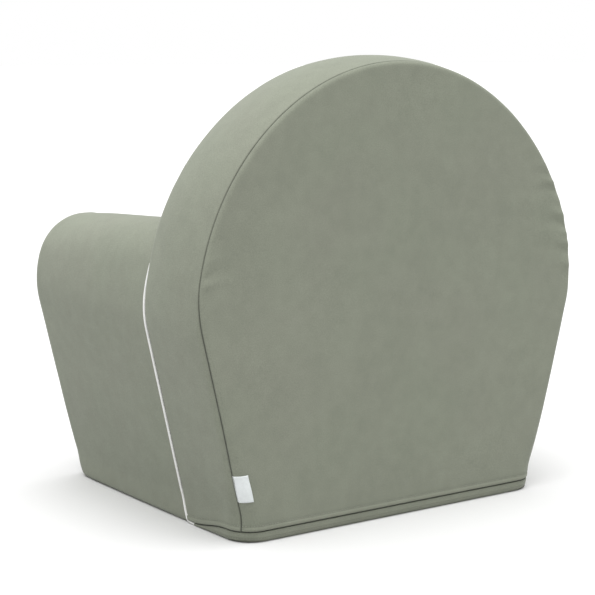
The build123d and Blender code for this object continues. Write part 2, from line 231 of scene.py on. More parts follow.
class Profile:
    """A smooth curve from the middle, x = 0, round to its end on the +X side. A signed run along it
    measures from the middle, negative on the -X side."""

    step = 0.0002

    def __init__(self, pieces):
        points = np.vstack(pieces)
        points = points[np.r_[True, np.linalg.norm(np.diff(points, axis=0), axis=1) > 1e-9]]
        along = run_along(points)
        self.length = along[-1]
        self.run = np.linspace(0, self.length, int(self.length / self.step))
        self.x, self.z = (np.interp(self.run, along, points[:, i]) for i in (0, 1))
        slope_x, slope_z = np.gradient(self.x, self.run), np.gradient(self.z, self.run)
        size = np.hypot(slope_x, slope_z)
        self.nx, self.nz = -slope_z / size, slope_x / size
        self.tree = None

    def at(self, run):
        """Place and outward normal at a signed run."""
        side = np.where(run < 0, -1.0, 1.0)
        x, z, nx, nz = (np.interp(np.abs(run), self.run, a) for a in (self.x, self.z, self.nx, self.nz))
        return side * x, z, side * nx, nz

    def run_at_height(self, height):
        """Run of the last place at that height, on the way to the floor."""
        return float(self.run[np.nonzero(self.z >= height)[0][-1]])

    def measure(self, x, z):
        """Signed run of the nearest place, and how far inside the curve each point lies."""
        if self.tree is None:
            self.tree = KDTree(len(self.run))
            for i, place in enumerate(zip(self.x, self.z)):
                self.tree.insert((place[0], place[1], 0.0), i)
            self.tree.balance()
        near = np.array([self.tree.find((abs(a), b, 0.0))[1] for a, b in zip(x, z)], int)
        dx, dz = np.abs(x) - self.x[near], z - self.z[near]
        along = dx * self.nz[near] - dz * self.nx[near]
        run = np.clip(self.run[near] + along, 0, self.length)
        return np.where(x < 0, -run, run), -(dx * self.nx[near] + dz * self.nz[near])


def dome(c, shoulder):
    """The top of the back, from its highest to its widest point."""
    up = c.top - c.widest_height
    curve = arc((0, c.widest_height), (c.half_width, up), 90, 0, 900)
    turn = np.radians(np.linspace(90, 0, 900))
    inset = shoulder * (1 - np.cos(4 * turn)) / 2
    return curve - np.column_stack([np.cos(turn), np.sin(turn)]) * inset[:, None]


def side_pieces(c, start):
    """The side's outline from an angle of its roundness down to the floor."""
    centre = (c.half_width - c.side_radius, c.widest_height)
    reach = (c.foot_half - centre[0], c.foot_height - centre[1])
    flare = math.degrees(math.atan2(reach[1], reach[0]) + math.acos(c.side_radius / math.hypot(*reach)))
    turn = c.foot_blend * math.tan(math.radians(-flare) / 2)
    blend_centre = (c.foot_half + c.foot_blend, c.foot_height - turn)
    return [
        arc(centre, c.side_radius, start, flare),
        arc(blend_centre, c.foot_blend, 180 + flare, 180, 60),
        np.array([[c.foot_half, 0.0]]),
    ]


def back_profile(c, k):
    """Outline of the back, from the top down to the floor."""
    return Profile([dome(c, k.shoulder), *side_pieces(c, 0)])


def seat_profile(c):
    """Outline of the seat and an arm: along the seat, up the inner wall, over the arm and down."""
    tan_lean, cos_lean = math.tan(c.inner_lean), math.cos(c.inner_lean)
    lean = math.degrees(c.inner_lean)
    reach = c.side_radius - c.arm_outer_radius
    roll_z = c.arm_top - c.arm_outer_radius
    roll_start = math.degrees(math.asin((roll_z - c.widest_height) / reach))
    roll_x = c.half_width - c.side_radius + reach * math.cos(math.radians(roll_start))
    wall_foot = c.half_width - c.arm_width
    wall_reach = wall_foot + (c.arm_top - c.seat_height) * tan_lean
    inner_radius = (roll_x - c.arm_flat - wall_reach) / (1 / cos_lean - tan_lean)
    corner_z = c.seat_height + c.seat_corner
    corner_x = wall_foot + c.seat_corner * tan_lean - c.seat_corner / cos_lean
    return Profile([
        np.array([[0.0, c.seat_height]]),
        arc((corner_x, corner_z), c.seat_corner, -90, -lean, 60),
        arc((roll_x - c.arm_flat, c.arm_top - inner_radius), inner_radius, 180 - lean, 90),
        arc((roll_x, roll_z), c.arm_outer_radius, 90, roll_start),
        *side_pieces(c, roll_start),
    ])


def smooth(value, low, high):
    """0 below low, 1 above high, and a smooth step between them."""
    t = np.clip((value - low) / (high - low), 0, 1)
    return t * t * (3 - 2 * t)


def rear_radius(k, z):
    """Roundness of the slab's rear edge, which grows towards the floor."""
    side = k.rear_side_round * (1 - smooth(z, 0.20, 0.32))
    return k.rear_round + side + k.rear_foot_round * np.exp(-z / k.rear_foot_fade)


def front_radius(k, z, outside):
    """Roundness of the front edge, which grows towards the floor on the outside."""
    return k.front_round + k.front_foot_round * np.exp(-z / k.front_foot_fade) * outside


def rear_seam(k, z):
    """How far inside the outline the rear seam lies on the flat pattern: round on the boxing at the
    top, and on the middle of the rounded edge lower down."""
    share = 0.50 + 0.40 * smooth(z, 0.225, 0.285) + 0.07 * (1 - smooth(z, 0.06, 0.15))
    return rear_radius(k, z) * (1 - share * math.pi / 2)


def joint_y(c, k, z):
    """Where the slab's front face stands at that height, with the bend of the piping at the floor."""
    bend = k.joint_shift * np.clip(1 - z / k.joint_fade, 0, 1) ** 2.2
    return REAR_Y - c.slab_depth + z * math.tan(c.slab_lean) + bend


def bend_edge(radius, inset):
    """Bends cloth round an edge. For cloth at an inset on the flat pattern, gives how far inside the
    outline it lies, how deep behind the face, and the two shares of its normal."""
    angle = np.clip((radius - inset) / radius, 0, math.pi / 2)
    past = np.maximum(radius * (1 - math.pi / 2) - inset, 0)
    inward = np.where(inset > radius, inset, radius * (1 - np.sin(angle)))
    return inward, radius * (1 - np.cos(angle)) + past, np.sin(angle), np.cos(angle)


def seam_rings(k, spread):
    """Distances from a seam at which a panel has rows, up to spread."""
    turn = np.radians([0, 20, 40, 60, 90])
    near = k.seam_gap + k.roll * (1 - np.cos(turn))
    far = near[-1] + np.array([0.6, 1.4, 2.4, 3.6, 5.2, 7.2, 9.6, 12.5, 16, 20, 25]) * 0.001
    return np.r_[0, near, far[far < spread]]


def seam_depth(k, distance):
    """How deep the cloth lies at a distance from its seam."""
    turn = np.radians(np.linspace(0, 90, 16))
    near = k.seam_gap + k.roll * (1 - np.cos(turn))
    deep = k.roll * (1 - np.sin(turn))
    return np.interp(distance, np.r_[0, near], np.r_[k.roll + k.roll_tail, deep])


def hem_lift(k, height, lip):
    """Profile of the folded hem over the zip, at a height above its fold."""
    fold = seam_depth(k, height) * 0.6
    past = smooth(height, k.lip_height - 0.0008, k.lip_height + 0.0004)
    raised = lip * smooth(height, 0, 0.0012) * (1 - past)
    crease = k.crease * np.exp(-(((height - k.lip_height - HEM_STITCH) / CREASE_WIDTH) ** 2))
    return raised - crease - fold


def hem_shade_distance(k, height):
    """Distance to the sewn line above the hem, eased so that the shade painted along it is fainter than a
    seam's.
    """
    return np.abs(height - k.lip_height - HEM_STITCH) + LINE_EASE


def slider_share(x):
    """1 along the side where the slider runs, and 0 elsewhere."""
    return 1 - smooth(x, -0.206, -0.186)


def lip_stand(k, x):
    """How far the hem stands proud; it lies flatter where the slider runs."""
    return k.lip * (1 - 0.8 * slider_share(x))


def rim_drop(k, x, y):
    """How far the zip sinks towards the piping, on the label's side."""
    return k.rim_drop * (1 - smooth(y, 0.088, 0.160)) * smooth(x, 0.15, 0.19)


def sink(k, x, y, z):
    """Height of a place once the cover has sunk with the zip."""
    fade = 1 - smooth(z, SLIT_TOP, SLIT_TOP + 0.035)
    rim = np.clip(z / SLIT_BOTTOM, 0, 1)
    in_hem = (1 - smooth(z, SLIT_TOP, SLIT_TOP + 0.009)) * (z > SLIT_BOTTOM + 0.001)
    hang = k.hem_drop * (1 - slider_share(x)) * in_hem
    return z - rim_drop(k, x, y) * fade * rim - hang


def raise_arm(k, y, z):
    """Height of a place once an arm has swollen towards the back."""
    return z + k.arm_swell * smooth(z, 0.262, 0.318) * np.clip((y + 0.17) / 0.24, 0, 1)


def outer_share(profile, run):
    """0 over an arm's roll and inside it, and 1 down its outer side."""
    return smooth(np.abs(run), profile.length - 0.30, profile.length - 0.20)


def tuck(k, z):
    """How far the cover draws in at the floor."""
    return k.bottom_tuck * np.clip(1 - z / k.bottom_roll, 0, 1) ** 2


class Puckers:
    """Small folds that a seam gathers, square to it, fading into the cloth."""

    def __init__(self, seed, span, spacing, height, chosen=()):
        random = np.random.default_rng(seed)
        places = np.arange(span[0], span[1], spacing)
        count = len(places)
        places = places + random.uniform(-0.4, 0.4, 4000)[:count] * spacing
        self.place = np.r_[places, [p[0] for p in chosen]]
        self.height = np.r_[height * random.uniform(-0.5, 0.5, count) ** 3 * 6, [p[1] for p in chosen]]
        self.width = np.r_[random.uniform(0.0016, 0.0042, count), [p[2] for p in chosen]]
        self.reach = np.r_[random.uniform(0.005, 0.016, count), [p[3] for p in chosen]]
        self.slant = np.r_[random.uniform(-0.4, 0.4, count), [p[4] for p in chosen]]

    def lift(self, run, distance):
        """Height of the folds at a run along the seam and a distance from it."""
        total = np.zeros_like(run)
        for place, height, width, reach, slant in zip(
            self.place, self.height, self.width, self.reach, self.slant
        ):
            across = (run - place - slant * distance) / (width * (1 + distance / reach))
            near = np.abs(across) < 3.5
            total[near] += height * np.exp(-across[near] ** 2 - distance[near] / reach)
        return total * smooth(distance, 0.0004, 0.0065)


def waves(points, scale, seed):
    """Broad unevenness of the cloth, from -1 to 1."""
    shift = Vector((seed * 3.7, seed * 1.3, seed * 5.1))
    return np.array([noise.noise(Vector(p) * scale + shift) for p in points])


def unevenness(k, places, broad, scale, seed):
    """Broad waves, as a share of the cover's, with small ones among them."""
    flat = places.reshape(-1, 3)
    large = k.wave * broad * waves(flat, scale, seed)
    return (large + k.wave * 0.25 * waves(flat, 38, seed + 1)).reshape(places.shape[:-1])


def grid_mesh(columns, rows):
    """A bmesh grid, with each vertex's column and row."""
    bm = bmesh.new()
    bmesh.ops.create_grid(bm, x_segments=columns - 1, y_segments=rows - 1, size=1)
    places = [
        (round((v.co.x + 1) / 2 * (columns - 1)), round((v.co.y + 1) / 2 * (rows - 1))) for v in bm.verts
    ]
    return bm, np.array(places)


def disc_mesh(spokes, rings):
    """A bmesh disc made ring by ring, with each vertex's spoke and ring; ring 0 is the middle."""
    bm = bmesh.new()
    bmesh.ops.create_circle(bm, cap_ends=True, cap_tris=True, segments=spokes, radius=1)
    for ring in range(2, rings):
        edges = [e for e in bm.edges if e.is_boundary]
        new = bmesh.ops.extrude_edge_only(bm, edges=edges)["geom"]
        verts = [g for g in new if isinstance(g, bmesh.types.BMVert)]
        bmesh.ops.scale(bm, vec=(ring / (ring - 1),) * 3, verts=verts)
    turn = 2 * math.pi / spokes
    places = [
        (round(math.atan2(v.co.x, v.co.y) / turn) % spokes, round(v.co.length)) for v in bm.verts
    ]
    return bm, np.array(places)


def set_places(bm, points):
    """Moves each vertex to its place."""
    for vert, point in zip(bm.verts, points):
        vert.co = point


def set_cloth_map(bm, pattern):
    """Gives the mesh its flat pattern, in metres, as a UV map."""
    layer = bm.loops.layers.uv.new("cloth")
    bm.verts.index_update()
    for face in bm.faces:
        for loop in face.loops:
            loop[layer].uv = pattern[loop.vert.index]


def face_outwards(bm, outward):
    """Turns the faces so that they agree with the given outward directions."""
    bm.normal_update()
    bm.verts.index_update()
    agree = sum(
        face.normal.dot(Vector(outward[face.verts[0].index])) * face.calc_area() for face in bm.faces
    )
    if agree < 0:
        bmesh.ops.reverse_faces(bm, faces=bm.faces)


def make_piece(bm, name, material, body="chair", replaces=()):
    """Turns a bmesh into a smooth piece that rides on a body."""
    mesh = bpy.data.meshes.new(name)
    bm.to_mesh(mesh)
    bm.free()
    for face in mesh.polygons:
        face.use_smooth = True
    piece = bpy.data.objects.new(name, mesh)
    bpy.context.scene.collection.objects.link(piece)
    mesh.materials.append(material)
    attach(piece, body)
    if replaces:
        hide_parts(*replaces)
    return piece


def give_thickness(piece, thickness):
    """Gives a sheet its thickness, inwards."""
    wall = piece.modifiers.new("cloth", "SOLIDIFY")
    wall.thickness = thickness
    wall.offset = -1
    wall.use_rim = True


def sew(context, bm, points, outward, pattern, seam, name, replaced, rests_on):
    """Finishes a cover panel: its place, its flat pattern, how near each place is to a seam and its
    thickness."""
    set_places(bm, points)
    set_cloth_map(bm, pattern)
    # The seam layer sets how much shade is painted into the cloth's colour near a seam or sewn line
    layer = bm.verts.layers.float.new("seam")
    for vert, distance in zip(bm.verts, seam):
        vert[layer] = math.exp(-((distance / SEAM_SHADE) ** 2))
    face_outwards(bm, outward)
    fabric = material_of(context, "cover_fabric")
    panel = make_piece(bm, name, fabric, replaces=[replaced])
    give_thickness(panel, context.scene.cover_sizes.cloth)


def sew_grid(context, points, outward, pattern, seam, name, replaced, rests_on):
    """Sews a panel from columns and rows of places."""
    bm, where = grid_mesh(*points.shape[:2])
    laid = [grid_points(array, where) for array in (points, outward, pattern, seam)]
    sew(context, bm, *laid, name, replaced, rests_on)


def grid_cloth(points, outward, pattern):
    """A mesh of columns and rows of places with its flat pattern, facing outwards."""
    bm, where = grid_mesh(*points.shape[:2])
    set_places(bm, grid_points(points, where))
    set_cloth_map(bm, grid_points(pattern, where))
    face_outwards(bm, grid_points(outward, where))
    return bm


def add_bead(bm, place, outward, size):
    """Adds an oval bead, with the first of its sizes along the outward direction."""
    turn = Matrix.Rotation(math.atan2(outward[1], outward[0]), 4, "Z")
    matrix = Matrix.Translation(place) @ turn @ Matrix.Diagonal((*size, 1.0))
    bmesh.ops.create_icosphere(bm, subdivisions=1, radius=0.5, matrix=matrix)


def node(tree, kind, inputs=None, **settings):
    """A shader node with its settings and input values."""
    made = tree.nodes.new(kind)
    for key, value in settings.items():
        setattr(made, key, value)
    for key, value in (inputs or {}).items():
        made.inputs[key].default_value = value
    return made


def new_material(name, colour, roughness, sheen=0.0, metallic=0.0):
    """A material with its shader's constants set; returns it with its tree and shader."""
    material = bpy.data.materials.new(f"chair_{name}")
    material.use_nodes = True
    material.diffuse_color = (*colour, 1)
    tree = material.node_tree
    shader = tree.nodes["Principled BSDF"]
    shader.inputs["Base Color"].default_value = (*colour, 1)
    shader.inputs["Roughness"].default_value = roughness
    shader.inputs["Metallic"].default_value = metallic
    shader.inputs["Sheen Weight"].default_value = sheen
    shader.inputs["Sheen Roughness"].default_value = 0.45
    shader.inputs["Sheen Tint"].default_value = (0.92, 0.95, 0.90, 1)
    return material, tree, shader


def mottle(tree, coordinates, scale, detail, low, high):
    """A noise turned into a factor between low and high."""
    pattern = node(tree, "ShaderNodeTexNoise", {"Scale": scale, "Detail": detail, "Roughness": 0.55})
    tree.links.new(coordinates, pattern.inputs["Vector"])
    spread = node(
        tree, "ShaderNodeMapRange", {"From Min": 0.32, "From Max": 0.68, "To Min": low, "To Max": high}
    )
    tree.links.new(pattern.outputs["Fac"], spread.inputs["Value"])
    return spread.outputs["Result"]


def times(tree, first, second):
    """Product of two factors."""
    made = node(tree, "ShaderNodeMath", operation="MULTIPLY")
    tree.links.new(first, made.inputs[0])
    tree.links.new(second, made.inputs[1])
    return made.outputs[0]


def shade_colour(tree, shader, colour, factor, warm=None):
    """Multiplies the base colour by a factor, and leans it towards a second tint by another."""
    # The colours of a Mix node are its inputs 6 and 7 and its output 2
    base = node(tree, "ShaderNodeMix", data_type="RGBA")
    base.inputs[6].default_value = (*colour, 1)
    base.inputs[7].default_value = (*[c * f for c, f in zip(colour, (0.985, 1.006, 0.988))], 1)
    if warm is None:
        base.inputs[0].default_value = 0
    else:
        tree.links.new(warm, base.inputs[0])
    scaled = node(tree, "ShaderNodeVectorMath", operation="SCALE")
    tree.links.new(base.outputs[2], scaled.inputs[0])
    tree.links.new(factor, scaled.inputs["Scale"])
    tree.links.new(scaled.outputs[0], shader.inputs["Base Color"])


def add_bump(tree, shader, height, distance, strength, before=None):
    """Adds a bump of that real height, after an earlier one."""
    bump = node(tree, "ShaderNodeBump", {"Strength": strength, "Distance": distance})
    tree.links.new(height, bump.inputs["Height"])
    if before is not None:
        tree.links.new(before, bump.inputs["Normal"])
    tree.links.new(bump.outputs["Normal"], shader.inputs["Normal"])
    return bump.outputs["Normal"]


def weave(tree, across, along):
    """Over and under of a woven cloth on the cloth map, in ribs pi times these sizes apart."""
    cloth = node(tree, "ShaderNodeUVMap", uv_map="cloth")
    threads = []
    for direction, size in (("X", across), ("Y", along)):
        look = {"Scale": 0.1 / size, "Distortion": 0.6, "Detail": 1.0}
        wave = node(tree, "ShaderNodeTexWave", look, wave_type="BANDS", bands_direction=direction)
        tree.links.new(cloth.outputs["UV"], wave.inputs["Vector"])
        threads.append(wave.outputs["Fac"])
    return times(tree, *threads)


def cover_material(colours):
    """Brushed cotton: a soft nap over a fine weave, faintly mottled, with shade painted along its seams and
    sewn lines.
    """
    colour = tuple(colours.cover)
    material, tree, shader = new_material("cover_fabric", colour, 0.92, sheen=0.22)
    place = node(tree, "ShaderNodeTexCoord").outputs["Object"]
    broad = mottle(tree, place, 14, 2, 0.975, 1.025)
    cloudy = mottle(tree, place, 60, 3, 0.962, 1.038)
    nap = mottle(tree, place, 900, 3, 0.88, 1.10)
    warm = mottle(tree, place, 9, 2, 0.0, 1.0)
    # Painted shade: the colour darkens to 0.6 of itself where the seam layer is 1
    seam = node(tree, "ShaderNodeAttribute", attribute_name="seam")
    crease = node(tree, "ShaderNodeMapRange", {"To Min": 1.0, "To Max": 0.60})
    tree.links.new(seam.outputs["Fac"], crease.inputs["Value"])
    cloth = times(tree, times(tree, broad, cloudy), times(tree, nap, crease.outputs["Result"]))
    shade_colour(tree, shader, colour, cloth, warm)
    first = add_bump(tree, shader, weave(tree, 0.0006, 0.0006), 0.00008, 0.5)
    add_bump(tree, shader, nap, 0.0002, 0.35, first)
    return material


def piping_material(colours):
    """Satin bias tape over a cord."""
    colour = tuple(colours.piping)
    material, tree, shader = new_material("piping_satin", colour, 0.55, sheen=0.1)
    place = node(tree, "ShaderNodeTexCoord").outputs["Object"]
    shade_colour(tree, shader, colour, mottle(tree, place, 160, 2, 0.95, 1.03))
    add_bump(tree, shader, weave(tree, 0.0004, 0.0004), 0.00006, 0.5)
    return material


def label_material(colours):
    """Woven label with fine ribs."""
    colour = tuple(colours.label)
    material, tree, shader = new_material("label_satin", colour, 0.5, sheen=0.1)
    place = node(tree, "ShaderNodeTexCoord").outputs["Object"]
    shade_colour(tree, shader, colour, mottle(tree, place, 300, 2, 0.96, 1.02))
    add_bump(tree, shader, weave(tree, 0.00035, 0.0007), 0.00008, 0.6)
    return material


def plain_material(name, colour, roughness, scale, depth, metallic=0.0):
    """A material with a fine even grain."""
    material, tree, shader = new_material(name, tuple(colour), roughness, metallic=metallic)
    place = node(tree, "ShaderNodeTexCoord").outputs["Object"]
    grain = mottle(tree, place, scale, 3, 0.93, 1.05)
    shade_colour(tree, shader, tuple(colour), grain)
    add_bump(tree, shader, grain, depth, 0.5)
    return material


def foam_material(colours):
    """Open-cell foam."""
    colour = tuple(colours.foam)
    material, tree, shader = new_material("foam", colour, 0.95)
    place = node(tree, "ShaderNodeTexCoord").outputs["Object"]
    cells = node(tree, "ShaderNodeTexVoronoi", {"Scale": 700})
    tree.links.new(place, cells.inputs["Vector"])
    spread = node(
        tree, "ShaderNodeMapRange", {"From Min": 0.0, "From Max": 0.7, "To Min": 0.78, "To Max": 1.05}
    )
    tree.links.new(cells.outputs["Distance"], spread.inputs["Value"])
    shade_colour(tree, shader, colour, spread.outputs["Result"])
    add_bump(tree, shader, spread.outputs["Result"], 0.0004, 0.6)
    return material


MATERIAL_MAKERS = {
    "cover_fabric": cover_material,
    "piping_satin": piping_material,
    "label_satin": label_material,
    "foam": foam_material,
    "zip_tape": lambda dye: plain_material("zip_tape", dye.tape, 0.9, 1200, 0.0001),
    "zip_nylon": lambda dye: plain_material("zip_nylon", dye.nylon, 0.42, 700, 0.00004),
    "zip_metal": lambda dye: plain_material("zip_metal", dye.metal, 0.38, 500, 0.00003),
    "thread": lambda dye: plain_material("thread", dye.thread, 0.7, 2500, 0.00005),
}


def material_of(context, name):
    """The named material, made when it is first asked for."""
    return bpy.data.materials.get(f"chair_{name}") or MATERIAL_MAKERS[name](context.scene.chair_colours)


def even_runs(start, stop, pitch, rings_start=None, rings_stop=None):
    """Runs from start to stop at about the given pitch, with closer rows after start or before stop."""
    head = start + rings_start if rings_start is not None else np.array([start])
    tail = stop - rings_stop[::-1] if rings_stop is not None else np.array([stop])
    count = max(int((tail[0] - head[-1]) / pitch), 2)
    return np.r_[head, np.linspace(head[-1], tail[0], count + 1)[1:-1], tail]


def band(c, k, profile, runs, widths, rear, front):
    """Cloth that runs round a profile between a rear seam and a front seam. rear and front each give,
    for heights and runs, the face's y, the edge's radius and the seam's inset. widths are distances
    from the rear seam and from the front seam. Returns places, normals and the two seam distances."""
    x, z, nx, nz = (a[:, None] for a in profile.at(runs))
    rear_y, rear_round, rear_inset = (np.broadcast_to(a, z.shape) for a in rear(z, runs[:, None]))
    front_y, front_round, front_inset = (np.broadcast_to(a, z.shape) for a in front(z, runs[:, None]))
    quarter = math.pi / 2
    full = (
        (rear_y - rear_round) - (front_y + front_round)
        + rear_inset - rear_round * (1 - quarter) + front_inset - front_round * (1 - quarter)
    )
    near_rear, near_front, middle = widths
    share = np.linspace(0, 1, middle + 2)[1:-1]
    from_rear = np.hstack([
        np.broadcast_to(near_rear, (len(runs), len(near_rear))),
        near_rear[-1] + share * (full - near_front[-1] - near_rear[-1]),
        full - near_front[::-1],
    ])
    from_front = full - from_rear
    in_rear, deep_rear, side_rear, face_rear = bend_edge(rear_round, rear_inset - from_rear)
    in_front, deep_front, side_front, face_front = bend_edge(front_round, front_inset - from_front)
    behind = from_rear * 2 < full
    inward = np.where(behind, in_rear, in_front) + tuck(k, z)
    y = np.where(behind, rear_y - deep_rear, front_y + deep_front)
    side = np.where(behind, side_rear, side_front)
    face = np.where(behind, face_rear, -face_front)
    places = np.stack([x - nx * inward, y, z - nz * inward], axis=2)
    normals = np.stack([nx * side, face, nz * side], axis=2)
    return places, normals, from_rear, from_front


def lay(places, normals, lift):
    """Places moved along their normals."""
    return places + normals * lift[..., None]


def grid_points(array, where):
    """Rows of a column by row array in the order of the grid's vertices."""
    return array[where[:, 0], where[:, 1]]


class CHAIR_OT_rear_panel(bpy.types.Operator):
    """Sew the big rear panel, drawn round the slab's rear edge, with its hem over the zip"""

    bl_idname = "chair.rear_panel"
    bl_label = "Rear panel"

    def execute(self, context):
        c, k = sizes_of(context)
        profile = back_profile(c, k)
        side_points, foot_points = 440, 110
        half = side_points + foot_points
        rings = seam_rings(k, 0.026)
        shrink = np.array([0.95, 0.89, 0.82, 0.75, 0.68, 0.60, 0.52, 0.44, 0.36, 0.28, 0.2, 0.12, 0.0])
        middle = np.array([0.0, 0.25])
        inset = rear_seam(k, profile.z)
        loops = []
        for ring in rings:
            x = profile.x - profile.nx * (inset + ring)
            z = profile.z - profile.nz * (inset + ring)
            low = SLIT_TOP + ring
            last = np.nonzero(z >= low)[0][-1]
            share = (z[last] - low) / (z[last] - z[last + 1])
            corner = (x[last] + share * (x[last + 1] - x[last]), low)
            side = np.vstack([np.column_stack([x, z])[: last + 1], corner])
            side[0, 0] = 0
            right = resample(side, side_points + 1)
            foot = np.linspace(corner, (0, low), foot_points + 1)[1:]
            right = np.vstack([right, foot])
            left = right[1:-1][::-1] * (-1, 1)
            loops.append(np.vstack([right, left]))
        for factor in shrink:
            loops.append(middle + (loops[len(rings) - 1] - middle) * factor)
        loops = np.array(loops[::-1])
        bm, where = disc_mesh(2 * half, len(loops))
        flat = loops[where[:, 1], where[:, 0]]
        run, inside = profile.measure(flat[:, 0], flat[:, 1])
        x, z, nx, nz = profile.at(run)
        inward, deep, side, face = bend_edge(rear_radius(k, z), inside)
        places = np.column_stack([x - nx * inward, REAR_Y - deep, z - nz * inward])
        normals = np.column_stack([nx * side, face, nz * side])
        from_seam = np.maximum(inside - rear_seam(k, z), 0)
        from_hem = np.maximum(flat[:, 1] - SLIT_TOP, 0)
        puckers = Puckers(11, (-profile.length, profile.length), 0.013, k.pucker, REAR_FOLDS)
        lift = (
            k.wave * 0.8 * waves(places, 9, 1) * smooth(np.minimum(from_seam, from_hem), 0.0, 0.03)
            + k.wave * 0.25 * waves(places, 38, 2)
            + puckers.lift(run, from_seam) * face**2
            + hem_lift(k, from_hem, lip_stand(k, places[:, 0]))
            - seam_depth(k, from_seam)
        )
        both = (seam_depth(k, from_seam) > 0) & (seam_depth(k, from_hem) > 0)
        lift[both] = np.maximum(lift[both], -(k.roll + k.roll_tail))
        points = lay(places, normals, lift)
        points[:, 2] = sink(k, points[:, 0], points[:, 1], points[:, 2])
        # Distances for the shade painted along the rear seam, the hem's fold and its sewn line
        seam = np.minimum.reduce([from_seam, from_hem + 0.001, hem_shade_distance(k, from_hem)])
        sew(
            context, bm, points, normals, flat, seam, "rear_panel", "cover_rear_panel", ["foam_back_core"]
        )
        return {"FINISHED"}


class CHAIR_OT_boxing(bpy.types.Operator):
    """Sew the strip round the edge of the back slab"""

    bl_idname = "chair.boxing"
    bl_label = "Boxing"

    def execute(self, context):
        c, k = sizes_of(context)
        profile = back_profile(c, k)
        rings = seam_rings(k, 0.010)
        end = profile.length - SLIT_TOP
        runs = even_runs(-end, end, 0.0024, rings, rings)

        def rear(z, run):
            return REAR_Y, rear_radius(k, z), rear_seam(k, z)

        def front(z, run):
            free = smooth(z, 0.262, 0.290)
            edge = k.joint_round + (k.slab_front_round - k.joint_round) * free
            return joint_y(c, k, z), edge, edge + 0.0005 + 0.002 * (1 - free)

        places, normals, from_rear, from_front = band(c, k, profile, runs, (rings, rings, 26), rear, front)
        run = np.broadcast_to(runs[:, None], from_rear.shape)
        from_hem = end - np.abs(run)
        high = Puckers(21, (-end, end), 0.016, k.pucker)
        joint = Puckers(22, (-end, end), 0.019, k.pucker * 0.7)
        loose = (
            unevenness(k, places, 0.7, 10, 3)
            + high.lift(run, from_rear)
            + joint.lift(run, from_front)
        )
        lift = (
            loose * smooth(from_hem, 0.004, 0.030)
            + hem_lift(k, from_hem, lip_stand(k, places[..., 0]))
            - seam_depth(k, from_rear)
            - seam_depth(k, from_front)
        )
        share = from_rear / (from_rear + from_front)
        lift = np.maximum(lift, -(k.roll + k.roll_tail))
        high_up = smooth(places[..., 2], 0.04, 0.40)
        lift += k.boxing_crown * 4 * share * (1 - share) * high_up
        points = lay(places, normals, lift)
        points[..., 2] = sink(k, points[..., 0], points[..., 1], points[..., 2])
        pattern = np.stack([run, from_rear], axis=2)
        # Distances for the shade painted along both seams, the hem's fold and its sewn line
        seam = np.minimum.reduce([from_rear, from_front, from_hem + 0.001, hem_shade_distance(k, from_hem)])
        sew_grid(
            context, points, normals, pattern, seam, "back_boxing", "cover_back_boxing", ["foam_back_core"]
        )
        return {"FINISHED"}


def wrap(context, name, part, start, stop, seed, crown):
    """Cloth over an arm or the seat, between two runs and from the piping to the front seam."""
    c, k = sizes_of(context)
    profile = seat_profile(c)
    rings = seam_rings(k, 0.010)
    floor_rings = np.array([0.0003, 0.0008, 0.0014, 0.002, 0.0028, 0.0036, 0.0046, 0.006, 0.008, 0.011])
    floor_run = profile.length
    heads = [floor_rings if abs(abs(end) - floor_run) < 1e-6 else rings for end in (start, stop)]
    runs = even_runs(start, stop, 0.0028, *heads)

    def rear(z, run):
        sharp = 1e-5
        return joint_y(c, k, z) - k.piping_room, sharp, sharp * (1 - math.pi / 2)

    def front(z, run):
        return FRONT_Y, front_radius(k, z, outer_share(profile, run)), k.front_seam

    places, normals, from_rear, from_front = band(c, k, profile, runs, (rings, rings, 60), rear, front)
    run = np.broadcast_to(runs[:, None], from_rear.shape)
    edges = [abs(run - end) for end in (start, stop) if abs(abs(end) - floor_run) > 1e-6]
    side_seam = np.minimum.reduce(edges)
    at_rear = Puckers(seed, (start, stop), 0.017, k.pucker * 0.8)
    at_front = Puckers(seed + 1, (start, stop), 0.016, k.pucker)
    inside = np.minimum(from_rear, from_front)
    swell = smooth(inside, 0, 0.07) * smooth(side_seam, 0, 0.07)
    lift = (
        crown * swell
        + unevenness(k, places, 0.8, 10, seed)
        + at_rear.lift(run, from_rear)
        + at_front.lift(run, from_front)
        - seam_depth(k, from_rear)
        - seam_depth(k, from_front)
        - seam_depth(k, side_seam)
    )
    lift = np.maximum(lift, -(k.roll + k.roll_tail)) * smooth(places[..., 2], -0.001, 0.004)
    points = lay(places, normals, lift)
    points[..., 2] = raise_arm(k, points[..., 1], points[..., 2])
    pattern = np.stack([run, from_rear], axis=2)
    # Distances for the shade painted along the panel's seams
    seam = np.minimum.reduce([from_rear, from_front, side_seam])
    sew_grid(context, points, normals, pattern, seam, name, f"cover_{part}", [f"foam_{part}_core"])


class CHAIR_OT_arms(bpy.types.Operator):
    """Sew the strip over each arm, from the floor over the roll to the seat"""

    bl_idname = "chair.arms"
    bl_label = "Arms"

    def execute(self, context):
        c, k = sizes_of(context)
        end = seat_profile(c).length
        wrap(context, "arm_left", "arm_left", c.seat_seam, end, 31, k.arm_crown)
        wrap(context, "arm_right", "arm_right", -end, -c.seat_seam, 41, k.arm_crown)
        return {"FINISHED"}


class CHAIR_OT_seat(bpy.types.Operator):
    """Sew the crowned seat panel"""

    bl_idname = "chair.seat"
    bl_label = "Seat"

    def execute(self, context):
        c, k = sizes_of(context)
        wrap(context, "seat_panel", "seat", -c.seat_seam, c.seat_seam, 51, k.seat_crown)
        return {"FINISHED"}


